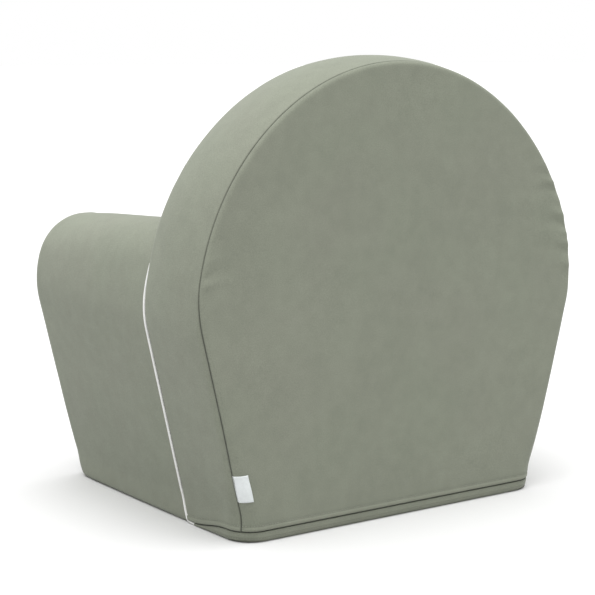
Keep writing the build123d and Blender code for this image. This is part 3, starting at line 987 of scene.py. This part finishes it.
class CHAIR_OT_inner_back(bpy.types.Operator):
    """Sew the back rest between the arms and the top"""

    bl_idname = "chair.inner_back"
    bl_label = "Inner back"

    def execute(self, context):
        c, k = sizes_of(context)
        back, seat = back_profile(c, k), seat_profile(c)
        seam = k.slab_front_round + 0.0005
        rings = seam_rings(k, 0.012)
        behind = 0.004
        low_x, low_z = seat.x - seat.nx * behind, seat.z - seat.nz * behind
        high_x, high_z = back.x - back.nx * seam, back.z - back.nz * seam
        crossing = np.nonzero(low_x > np.interp(low_z, high_z[::-1], high_x[::-1]))[0][0]
        half = even_runs(0, seat.run[crossing], 0.0035, None, np.array([0, 0.0008, 0.0018, 0.003, 0.005]))
        runs = np.r_[-half[::-1], half[1:]]
        side = np.where(runs < 0, -1.0, 1.0)
        start_x, start_z = (np.interp(np.abs(runs), seat.run, a) for a in (low_x, low_z))
        top_end = int(np.argmax(high_x))
        up_run = np.interp(start_x, high_x[: top_end + 1], back.run[: top_end + 1])
        x, z, nx, nz = back.at(up_run)
        room = np.hypot(x - nx * seam - start_x, z - nz * seam - start_z)
        squeeze = np.clip(room / (2 * rings[-1]), 0.001, 1)
        upper = [
            np.column_stack([x - nx * (seam + ring * squeeze), z - nz * (seam + ring * squeeze)])
            for ring in rings[::-1]
        ]
        start = np.column_stack([start_x, start_z])
        shares = np.linspace(0, 1, 56)
        lower = [start + (upper[0] - start) * share for share in shares[:-1]]
        flat = np.stack(lower + upper, axis=1)
        flat[..., 0] *= side[:, None]
        columns, rows = flat.shape[:2]
        bm, where = grid_mesh(columns, rows)
        flat = grid_points(flat, where)
        run, inside = back.measure(flat[:, 0], flat[:, 1])
        seat_run, seat_inside = seat.measure(flat[:, 0], flat[:, 1])
        from_seam = np.maximum(inside - seam, 0)
        from_seat = np.maximum(-seat_inside, 0)
        places = np.column_stack([flat[:, 0], joint_y(c, k, flat[:, 1]), flat[:, 1]])
        normals = np.tile((0.0, -1.0, 0.0), (len(places), 1))
        puckers = Puckers(61, (-back.length, back.length), 0.014, k.pucker)
        foot = Puckers(62, (-seat.length, seat.length), 0.018, k.pucker)
        lift = (
            k.back_crown * smooth(np.minimum(from_seam, from_seat), 0, 0.11)
            + unevenness(k, places, 1.0, 9, 7)
            + puckers.lift(run, from_seam)
            + foot.lift(seat_run, from_seat)
            - seam_depth(k, from_seam)
        )
        lift = np.where(seat_inside > 0, np.minimum(lift, 0), lift)
        points = lay(places, normals, lift)
        shade = np.minimum(from_seam, from_seat + 0.0006)
        sew(
            context, bm, points, normals, flat, shade, "inner_back", "cover_inner_back", ["foam_back_core"]
        )
        return {"FINISHED"}


class CHAIR_OT_front(bpy.types.Operator):
    """Sew the front panel over both arms and the front of the seat"""

    bl_idname = "chair.front"
    bl_label = "Front panel"

    def execute(self, context):
        c, k = sizes_of(context)
        profile = seat_profile(c)
        seam = k.front_seam
        low = 0.0003
        x, z = profile.x - profile.nx * seam, profile.z - profile.nz * seam
        last = np.nonzero(z >= low)[0][-1]
        right = resample(np.column_stack([x, z])[: last + 1], 250)
        right[0, 0] = 0
        outline = np.vstack([right, (right[1:] * (-1, 1))[::-1]])
        bm = bmesh.new()
        ring = bmesh.ops.create_circle(bm, cap_ends=True, segments=len(outline), radius=1)
        for vert, (a, b) in zip(ring["verts"], outline):
            vert.co = (a, 0, b)
        face = ring["verts"][0].link_faces[0]
        rings = seam_rings(k, 0.008)
        for step in np.diff(rings)[np.diff(rings) > 1e-6]:
            bmesh.ops.inset_region(bm, faces=[face], thickness=float(step), use_even_offset=True)
        cell = 0.008
        for axis, low, high in ((0, -c.half_width, c.half_width), (2, 0.004, c.arm_top)):
            for place in np.arange(low, high, cell):
                spot, across = [0.0, 0.0, 0.0], [0.0, 0.0, 0.0]
                spot[axis], across[axis] = float(place), 1.0
                geometry = bm.verts[:] + bm.edges[:] + bm.faces[:]
                bmesh.ops.bisect_plane(bm, geom=geometry, dist=1e-5, plane_co=spot, plane_no=across)
        flat = np.array([(v.co.x, v.co.z) for v in bm.verts])
        run, inside = profile.measure(flat[:, 0], flat[:, 1])
        x, z, nx, nz = profile.at(run)
        outside = outer_share(profile, run)
        rounds = front_radius(k, z, outside)
        inward, deep, side, face_share = bend_edge(rounds, inside)
        inward = inward + tuck(k, flat[:, 1]) * outside * (inside < 0.05)
        places = np.column_stack([x - nx * inward, FRONT_Y + deep + tuck(k, flat[:, 1]), z - nz * inward])
        plain = inside > rounds
        places[plain, 0], places[plain, 2] = flat[plain, 0], flat[plain, 1]
        normals = np.column_stack([nx * side, -face_share, nz * side])
        from_seam = np.maximum(inside - seam, 0)
        puckers = Puckers(71, (-profile.length, profile.length), 0.016, k.pucker)
        lift = (
            k.arm_crown * smooth(from_seam, 0, 0.06)
            + unevenness(k, places, 0.8, 10, 9)
            + puckers.lift(run, from_seam)
            - seam_depth(k, from_seam)
        ) * smooth(flat[:, 1], -0.001, 0.004)
        points = lay(places, normals, lift)
        cores = ["foam_seat_core", "foam_arm_left_core", "foam_arm_right_core"]
        # Shade is painted along the front panel's seam by the distance from it
        sew(context, bm, points, normals, flat, from_seam, "front_panel", "cover_front", cores)
        return {"FINISHED"}


def foot_plan(c, k, z, end_y, inset=0.0):
    """Plan of the cover at a height near the floor, from the middle of the rear round to end_y."""
    radius = float(rear_radius(k, z)) - inset
    half, rear = c.foot_half - inset, REAR_Y - inset
    return Profile([
        np.array([[0.0, rear]]),
        arc((half - radius, rear - radius), radius, 90, 0, 90),
        np.array([[half, end_y]]),
    ])


class CHAIR_OT_base(bpy.types.Operator):
    """Sew the bottom panel and the rim that turns up behind, below the zip"""

    bl_idname = "chair.base"
    bl_label = "Base"

    def execute(self, context):
        c, k = sizes_of(context)
        self.bottom(context, c, k)
        self.rim(context, c, k)
        return {"FINISHED"}

    def bottom(self, context, c, k):
        """The flat panel underneath, from its middle out to the cover's edge."""
        inset = k.bottom_tuck - 0.0003
        rear = rear_radius(k, 0.0) - inset
        front = front_radius(k, 0.0, 1.0) - inset
        half, back, ahead = c.foot_half - inset, REAR_Y - inset, FRONT_Y + inset
        outline = Profile([
            np.array([[0.0, back]]),
            arc((half - rear, back - rear), rear, 90, 0, 90),
            arc((half - front, ahead + front), front, 0, -90, 90),
            np.array([[0.0, ahead]]),
        ])
        spokes = 260
        shrink = np.array([0.0, 0.15, 0.3, 0.45, 0.6, 0.72, 0.82, 0.9, 0.95, 0.98, 1.0])
        rise = np.array([0.0, 0.0, 0.0, 0.0, 0.0, 0.0, 0.0, 0.0, 0.0, 0.00005, 0.0004])
        right = np.linspace(0, outline.length, spokes // 2 + 1)
        runs = np.r_[right, -right[1:-1][::-1]]
        x, y, nx, ny = outline.at(runs)
        x[0], x[spokes // 2] = 0, 0
        bm, where = disc_mesh(spokes, len(shrink))
        factor = shrink[where[:, 1]]
        points = np.column_stack([x[where[:, 0]] * factor, y[where[:, 0]] * factor, rise[where[:, 1]]])
        normals = np.tile((0.0, 0.0, -1.0), (len(points), 1))
        apart = np.full(len(points), 1.0)
        plan = points[:, :2].copy()
        sew(context, bm, points, normals, plan, apart, "bottom_panel", "cover_base", ["foam_back_core"])

    def rim(self, context, c, k):
        """The band between the zip and the floor, with its two sewn lines."""
        top = SLIT_BOTTOM
        heights = np.r_[
            top - seam_rings(k, 0.0028), np.linspace(top - 0.0034, 0.0062, 12),
            [0.0054, 0.0046, 0.0038, 0.003, 0.0023, 0.0016, 0.001, 0.0005, 0.0002],
        ]
        columns = 420
        shares = np.linspace(-1, 1, columns)
        places, normals = [], []
        for z in heights:
            plan = foot_plan(c, k, z, joint_y(c, k, z) + 0.001)
            x, y, nx, ny = plan.at(shares * plan.length)
            inward = tuck(k, z)
            places.append(np.column_stack([x - nx * inward, y - ny * inward, np.full(columns, z)]))
            normals.append(np.column_stack([nx, ny, np.zeros(columns)]))
        places, normals = (np.stack(a, axis=1) for a in (places, normals))
        down = np.broadcast_to(top - heights, places.shape[:2])
        lift = (
            0.00025 * smooth(down, 0, 0.002)
            - k.crease * 0.8 * np.exp(-(((down - RIM_STITCHES[0]) / CREASE_WIDTH) ** 2))
            - k.crease * 0.8 * np.exp(-(((down - RIM_STITCHES[1]) / CREASE_WIDTH) ** 2))
            + k.wave * 0.2 * waves(places.reshape(-1, 3), 60, 12).reshape(down.shape)
            - seam_depth(k, down) * 0.6
        ) * smooth(heights, 0.0, 0.003)
        points = lay(places, normals, lift)
        points[..., 2] = sink(k, points[..., 0], points[..., 1], points[..., 2])
        half_length = 0.33
        pattern = np.stack([np.broadcast_to(shares[:, None] * half_length, down.shape), down], axis=2)
        # Distances for the shade painted along the rim's top and its lower sewn line
        seam = np.minimum.reduce([down + 0.001, np.abs(down - RIM_SHADE) + 0.0010])
        sew_grid(context, points, normals, pattern, seam, "base_rim", "cover_base", ["foam_back_core"])


class CHAIR_OT_piping(bpy.types.Operator):
    """Sew in the piping where the arms and the seat meet the back"""

    bl_idname = "chair.piping"
    bl_label = "Piping"

    def execute(self, context):
        c, k = sizes_of(context)
        profile = seat_profile(c)
        sunk = 0.0012
        stand = k.piping / 2 - sunk
        off_floor = 0.0022
        end = profile.length - off_floor
        runs = np.linspace(-end, end, 900)
        x, z, nx, nz = profile.at(runs)
        x, z = x + nx * stand, z + nz * stand
        y = joint_y(c, k, z) - 0.0001 - k.piping / 2
        inward = tuck(k, z)
        line = np.column_stack([x - nx * inward, y, raise_arm(k, y, z)])
        tail = np.array([[0.0, 0.006, -0.0003], [0.0, 0.012, -0.0004]])
        line = np.vstack([line[0] + tail[::-1], line, line[-1] + tail])
        around = 12
        tangent = np.gradient(line, axis=0)
        tangent /= np.linalg.norm(tangent, axis=1)[:, None]
        outward = np.column_stack([nx, np.zeros(len(nx)), nz])
        outward = np.vstack([outward[[0, 0]], outward, outward[[-1, -1]]])
        side = np.cross(tangent, outward)
        side /= np.linalg.norm(side, axis=1)[:, None]
        outward = np.cross(side, tangent)
        angle = np.linspace(0, 2 * math.pi, around + 1)
        radius = k.piping / 2
        across, up = np.cos(angle)[None, :, None], np.sin(angle)[None, :, None]
        ring = outward[:, None, :] * across + side[:, None, :] * up
        points = line[:, None, :] + ring * radius
        run = run_along(line)
        pattern = np.stack(np.broadcast_arrays(run[:, None], (angle * radius)[None, :]), axis=2)
        bm = grid_cloth(points, ring, pattern)
        bmesh.ops.remove_doubles(bm, verts=bm.verts, dist=1e-6)
        bmesh.ops.holes_fill(bm, edges=[e for e in bm.edges if e.is_boundary], sides=around)
        satin = material_of(context, "piping_satin")
        make_piece(bm, "piping_cord", satin, replaces=["piping"])
        return {"FINISHED"}


class CHAIR_OT_label(bpy.types.Operator):
    """Catch the blank woven label in the seam beside the rear panel"""

    bl_idname = "chair.label"
    bl_label = "Label"

    def execute(self, context):
        c, k = sizes_of(context)
        profile = back_profile(c, k)
        height = LABEL_HIGH.z - LABEL_LOW.z
        width = (LABEL_HIGH.x - LABEL_LOW.x) * 0.9
        columns, rows = 16, 24
        run = profile.run_at_height((LABEL_LOW.z + LABEL_HIGH.z) / 2 - 0.002)
        run = run + np.linspace(-height / 2, height / 2, rows)
        out = np.linspace(-0.001, width, columns)
        run, out = np.meshgrid(run, out, indexing="ij")
        run, out = run.T, out.T
        pattern = np.stack([out, run], axis=2)
        run = run + 0.17 * out
        x, z, nx, nz = profile.at(run)
        inward, deep, side, face = bend_edge(rear_radius(k, z), rear_seam(k, z) + out)
        places = np.stack([x - nx * inward, REAR_Y - deep, z - nz * inward], axis=2)
        normals = np.stack([nx * side, face, nz * side], axis=2)
        lift = 0.0005 + 0.0011 * smooth(out, 0.0005, width) + 0.0003 * np.sin(run * 210)
        lift = np.where(out < 0.0004, -0.0008, lift)
        points = lay(places, normals, lift)
        bm = grid_cloth(points, normals, pattern)
        satin = material_of(context, "label_satin")
        label = make_piece(bm, "blank_label", satin, replaces=["side_label"])
        give_thickness(label, 0.0005)
        return {"FINISHED"}


class CHAIR_OT_zip(bpy.types.Operator):
    """Lay the zip's tapes and teeth behind the slit, and give the frame's end stops, slider and pull their
    painted metal
    """

    bl_idname = "chair.zip"
    bl_label = "Zip"

    def execute(self, context):
        c, k = sizes_of(context)
        plan = foot_plan(c, k, ZIP_Z, ZIP_END_Y, ZIP_INSET)
        self.tapes(context, k, plan)
        self.teeth(context, k, plan)
        self.metal()
        return {"FINISHED"}

    def tapes(self, context, k, plan):
        """The two tapes, each from beside the teeth out to where it is sewn under the cover."""
        columns = 300
        run = np.linspace(-1, 1, columns) * plan.length
        x, y, nx, ny = plan.at(run)
        steps = np.array(
            [[0.0021, 0.0], [0.0036, 0.0], [0.0051, 0.0008], [0.0066, 0.0014], [0.0125, 0.0014]]
        )
        for name, way in (("upper", 1), ("lower", -1)):
            lines = [
                np.column_stack([x + nx * out, y + ny * out, np.full(columns, ZIP_Z + way * up)])
                for up, out in steps
            ]
            points = np.stack(lines, axis=1)
            points[..., 2] -= rim_drop(k, points[..., 0], points[..., 1])
            points[..., 2] = np.maximum(points[..., 2], 0.0015)
            normals = np.broadcast_to(np.column_stack([nx, ny, 0 * nx])[:, None, :], points.shape)
            pattern = np.stack(np.broadcast_arrays(run[:, None], steps[:, 0][None, :]), axis=2)
            bm = grid_cloth(points, normals, pattern)
            woven = material_of(context, "zip_tape")
            tape = make_piece(
                bm, f"tape_{name}", woven, replaces=[f"zip_tape_{name}"]
            )
            give_thickness(tape, 0.0005)

    def teeth(self, context, k, plan):
        """The two rows of teeth, half a pitch apart."""
        pitch = 0.0016
        size = (0.0016, 0.0010, 0.0015)
        count = int(2 * plan.length / pitch)
        for name, way in (("upper", 1), ("lower", -1)):
            bm = bmesh.new()
            for i in range(count):
                run = np.array([-plan.length + (i + 0.5 + 0.25 * way) * pitch])
                x, y, nx, ny = (float(a[0]) for a in plan.at(run))
                drop = float(rim_drop(k, np.array(x), np.array(y)))
                height = max(ZIP_Z + way * 0.00135 - drop, 0.0022)
                add_bead(bm, (x, y, height), (nx, ny), size)
            nylon = material_of(context, "zip_nylon")
            make_piece(bm, f"teeth_{name}", nylon, replaces=[f"zip_teeth_{name}"])

    def metal(self):
        """Painted metal on the end stops, the slider and the pull, which stay the frame's own."""
        for name in ("zip_end_stops", "zip_slider", "zip_pull"):
            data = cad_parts[name].data
            data.materials.clear()
            data.materials.append(material_of(bpy.context, "zip_metal"))


class CHAIR_OT_foam(bpy.types.Operator):
    """Cut the foam cores inside the cover"""

    bl_idname = "chair.foam"
    bl_label = "Foam"

    def execute(self, context):
        c, k = sizes_of(context)
        self.back(context, c, k)
        self.seat(context)
        for side, name in ((1, "left"), (-1, "right")):
            self.arm(context, c, k, side, name)
        return {"FINISHED"}

    def finish_core(self, context, bm, name, node_name):
        bmesh.ops.remove_doubles(bm, verts=bm.verts, dist=1e-6)
        bmesh.ops.recalc_face_normals(bm, faces=bm.faces)
        core = make_piece(bm, name, material_of(context, "foam"), replaces=[node_name])

    def block(self, sections):
        """A closed core through loops of places, from the middle of one face to that of the other."""
        spokes = len(sections[0])
        shares = [0.3, 0.6, 0.85]
        middles = [sections[0].mean(axis=0), sections[-1].mean(axis=0)]
        first = [middles[0] + (sections[0] - middles[0]) * share for share in shares]
        last = [middles[1] + (sections[-1] - middles[1]) * share for share in shares[::-1]]
        loops = [*first, *sections, *last]
        bm = bmesh.new()
        rows = len(loops) + 1
        bmesh.ops.create_uvsphere(bm, u_segments=spokes, v_segments=rows, radius=1)
        for vert in bm.verts:
            row = round(math.acos(max(-1, min(1, vert.co.z))) / (math.pi / rows))
            spoke = round(math.atan2(vert.co.y, vert.co.x) / (2 * math.pi / spokes)) % spokes
            vert.co = middles[0] if row == 0 else middles[1] if row == rows else loops[row - 1][spoke]
        return bm

    def side_line(self, profile, edge, low, inner, count):
        """Line inside a profile, from its middle or an inner wall down to the floor, as x, z and the
        height at which the roundness of the edges is taken."""
        line = np.column_stack([profile.x - profile.nx * edge, profile.z - profile.nz * edge, profile.z])
        line = line[(line[:, 0] >= inner) & (line[:, 1] >= low)]
        line = np.vstack([[inner, *line[0, 1:]], line, [line[-1, 0], low, low]])
        return resample(line, count)

    def back(self, context, c, k):
        """The slab, with more room above the zip than higher up."""
        profile = back_profile(c, k)
        gap = CORE_GAP
        sections = []

        def room(own):
            return gap + 0.0042 * (1 - smooth(own, 0.026, 0.036))

        def section(edge, place):
            right = self.side_line(profile, edge, gap, 0.0, 100)
            foot = np.linspace(right[-1], (0, gap, gap), 31)[1:]
            right = np.vstack([right, foot])
            loop = np.vstack([right, right[1:-1][::-1] * (-1, 1, 1)])
            sections.append(np.column_stack([loop[:, 0], place(loop[:, 1], loop[:, 2]), loop[:, 1]]))

        rounds = rear_radius(k, profile.z)
        edge = k.slab_front_round
        for turn in np.radians(np.linspace(0, 90, 7)):
            section(
                rounds * (1 - math.sin(turn)) + room(profile.z),
                lambda z, own: REAR_Y - room(own) - rear_radius(k, own) * (1 - math.cos(turn)),
            )
        for share in (0.25, 0.5, 0.75):
            section(
                room(profile.z),
                lambda z, own: joint_y(c, k, z) * share + (REAR_Y - rear_radius(k, own)) * (1 - share),
            )
        for turn in np.radians(np.linspace(90, 0, 6)):
            section(
                edge * (1 - math.sin(turn)) + room(profile.z),
                lambda z, own: joint_y(c, k, z) + 0.002 + edge * (1 - math.cos(turn)),
            )
        self.finish_core(context, self.block(sections), "foam_back_core", "foam_back")

    def seat(self, context):
        """The seat block, rounded along its front."""
        low = Vector(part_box("foam_seat")[0]) + Vector((0.001, 0.001, 0.001))
        high = Vector(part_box("foam_seat")[1]) - Vector((0.001, 0.001, 0.001))
        bm = bmesh.new()
        middle = (high + low) / 2
        matrix = Matrix.Translation(middle) @ Matrix.Diagonal((*(high - low), 1.0))
        bmesh.ops.create_cube(bm, size=1, matrix=matrix)
        ahead = [e for e in bm.edges if all(v.co.y < middle.y for v in e.verts)]
        bmesh.ops.bevel(
            bm, geom=ahead, offset=0.006, segments=5, profile=0.5, affect="EDGES", material=-1
        )
        self.finish_core(context, bm, "foam_seat_core", "foam_seat")

    def arm(self, context, c, k, side, name):
        """One arm, risen towards the back as its cover is."""
        profile = seat_profile(c)
        gap = CORE_GAP
        inner = c.seat_seam + 0.001
        rounds = front_radius(k, profile.z, outer_share(profile, profile.run))
        sections = []

        def section(edge, place):
            line = self.side_line(profile, edge, gap, inner, 120)
            outer = smooth(line[:, 0], 0.170, 0.200)
            line = np.column_stack([line, front_radius(k, line[:, 2], outer)])
            foot = np.linspace(line[-1], (inner, gap, gap, k.front_round), 14)[1:]
            wall = np.linspace(foot[-1], line[0], 20)[1:-1]
            loop = np.vstack([line, foot, wall])
            y = place(loop[:, 1], loop[:, 3])
            sections.append(np.column_stack([loop[:, 0] * side, y, raise_arm(k, y, loop[:, 1])]))

        rear = joint_y(c, k, 0.1) - 0.0005
        for share in (0.0, 0.25, 0.5, 0.75):
            section(gap, lambda z, own: rear * (1 - share) + (FRONT_Y + 0.04) * share + 0 * z)
        for turn in np.radians(np.linspace(90, 0, 7)):
            section(
                rounds * (1 - math.sin(turn)) + gap, lambda z, own: FRONT_Y + gap + own * (1 - math.cos(turn))
            )
        self.finish_core(context, self.block(sections), f"foam_arm_{name}_core", f"foam_arm_{name}")


class CHAIR_OT_stitching(bpy.types.Operator):
    """Run the stitch lines of the hem and the rim"""

    bl_idname = "chair.stitching"
    bl_label = "Stitching"

    def execute(self, context):
        c, k = sizes_of(context)
        lines = {
            "hem_stitches": (SLIT_TOP + k.lip_height + HEM_STITCH, -0.0001),
            "rim_stitches_upper": (SLIT_BOTTOM - RIM_STITCHES[0], 0.0001),
            "rim_stitches_lower": (SLIT_BOTTOM - RIM_STITCHES[1], 0.0001),
        }
        pitch = 0.0032
        size = (0.0005, 0.0026, 0.0005)
        for name, (z, stand) in lines.items():
            plan = foot_plan(c, k, z, float(joint_y(c, k, z)) + 0.006)
            count = int(2 * plan.length / pitch)
            bm = bmesh.new()
            for i in range(count):
                run = np.array([-plan.length + (i + 0.5) * pitch])
                x, y, nx, ny = (float(a[0]) for a in plan.at(run))
                height = float(sink(k, np.array(x), np.array(y), np.array(z)))
                add_bead(bm, (x + nx * stand, y + ny * stand, height), (nx, ny), size)
            make_piece(bm, name, material_of(context, "thread"))
        return {"FINISHED"}


class CHAIR_OT_stage(bpy.types.Operator):
    """Set the plain floor, the soft light and the camera"""

    bl_idname = "chair.stage"
    bl_label = "Stage"

    def execute(self, context):
        studio = context.scene.studio_settings
        self.camera(context, studio)
        self.floor(context, studio)
        self.light(context, studio)
        context.scene.view_settings.view_transform = "Standard"
        return {"FINISHED"}

    def camera(self, context, studio):
        """The photo's view."""
        data = bpy.data.cameras.new("camera")
        data.sensor_width = 36
        data.lens = studio.camera_lens
        camera = bpy.data.objects.new("camera", data)
        context.scene.collection.objects.link(camera)
        camera.location = (studio.camera_x, studio.camera_y, studio.camera_z)
        yaw, pitch = studio.camera_yaw, studio.camera_pitch
        ahead = Vector((-math.sin(yaw) * math.cos(pitch), -math.cos(yaw) * math.cos(pitch), -math.sin(pitch)))
        camera.rotation_mode = "QUATERNION"
        camera.rotation_quaternion = ahead.to_track_quat("-Z", "Y")
        context.scene.camera = camera

    def floor(self, context, studio):
        """A plain floor, seen brighter than the light that it throws back."""
        bm = bmesh.new()
        bmesh.ops.create_grid(bm, x_segments=1, y_segments=1, size=40)
        mesh = bpy.data.meshes.new("floor")
        bm.to_mesh(mesh)
        bm.free()
        floor = bpy.data.objects.new("floor", mesh)
        context.scene.collection.objects.link(floor)
        material = bpy.data.materials.new("floor")
        material.use_nodes = True
        shader = material.node_tree.nodes["Principled BSDF"]
        tree = material.node_tree
        ray = node(tree, "ShaderNodeLightPath")
        grey = node(tree, "ShaderNodeMapRange", {"To Min": studio.bounce, "To Max": studio.floor})
        tree.links.new(ray.outputs["Is Camera Ray"], grey.inputs["Value"])
        tree.links.new(grey.outputs["Result"], shader.inputs["Base Color"])
        shader.inputs["Roughness"].default_value = 1
        shader.inputs["Specular IOR Level"].default_value = 0
        mesh.materials.append(material)

    def light(self, context, studio):
        """An even sky, white where it is seen or mirrored, and a wide lamp above."""
        world = bpy.data.worlds.new("studio")
        context.scene.world = world
        world.use_nodes = True
        tree = world.node_tree
        background = tree.nodes["Background"]
        background.inputs["Color"].default_value = (1, 1, 1, 1)
        ray = node(tree, "ShaderNodeLightPath")
        seen = ray.outputs["Is Camera Ray"]
        for name in ("Is Glossy Ray", "Is Transmission Ray"):
            either = node(tree, "ShaderNodeMath", operation="MAXIMUM")
            tree.links.new(seen, either.inputs[0])
            tree.links.new(ray.outputs[name], either.inputs[1])
            seen = either.outputs[0]
        strength = node(tree, "ShaderNodeMapRange", {"To Min": studio.sky, "To Max": 1.0})
        tree.links.new(seen, strength.inputs["Value"])
        tree.links.new(strength.outputs["Result"], background.inputs["Strength"])
        lamp = bpy.data.lights.new("lamp", "SUN")
        lamp.energy = studio.lamp
        lamp.angle = studio.lamp_spread
        lamp_object = bpy.data.objects.new("lamp", lamp)
        context.scene.collection.objects.link(lamp_object)
        lamp_object.rotation_euler = (math.radians(-7), math.radians(4), 0)


OPERATORS = (
    CHAIR_OT_rear_panel,
    CHAIR_OT_boxing,
    CHAIR_OT_inner_back,
    CHAIR_OT_arms,
    CHAIR_OT_seat,
    CHAIR_OT_front,
    CHAIR_OT_base,
    CHAIR_OT_piping,
    CHAIR_OT_label,
    CHAIR_OT_zip,
    CHAIR_OT_stitching,
    CHAIR_OT_foam,
    CHAIR_OT_stage,
)


class CHAIR_PT_panel(bpy.types.Panel):
    """Steps that build the chair"""

    bl_idname = "CHAIR_PT_panel"
    bl_label = "Armchair"
    bl_space_type = "VIEW_3D"
    bl_region_type = "UI"
    bl_category = "Armchair"

    def draw(self, context):
        for operator in OPERATORS:
            self.layout.operator(operator.bl_idname)


GROUPS = {
    "chair_sizes": ChairSizes,
    "cover_sizes": CoverSizes,
    "chair_colours": ChairColours,
    "studio_settings": StudioSettings,
}


def register():
    for name, group in GROUPS.items():
        bpy.utils.register_class(group)
        setattr(bpy.types.Scene, name, PointerProperty(type=group))
    for operator in OPERATORS:
        bpy.utils.register_class(operator)
    bpy.utils.register_class(CHAIR_PT_panel)


def unregister():
    bpy.utils.unregister_class(CHAIR_PT_panel)
    for operator in reversed(OPERATORS):
        bpy.utils.unregister_class(operator)
    for name, group in GROUPS.items():
        delattr(bpy.types.Scene, name)
        bpy.utils.unregister_class(group)


def main():
    register()
    for operator in OPERATORS:
        group, name = operator.bl_idname.split(".")
        getattr(getattr(bpy.ops, group), name)()


if __name__ == "__main__":
    main()
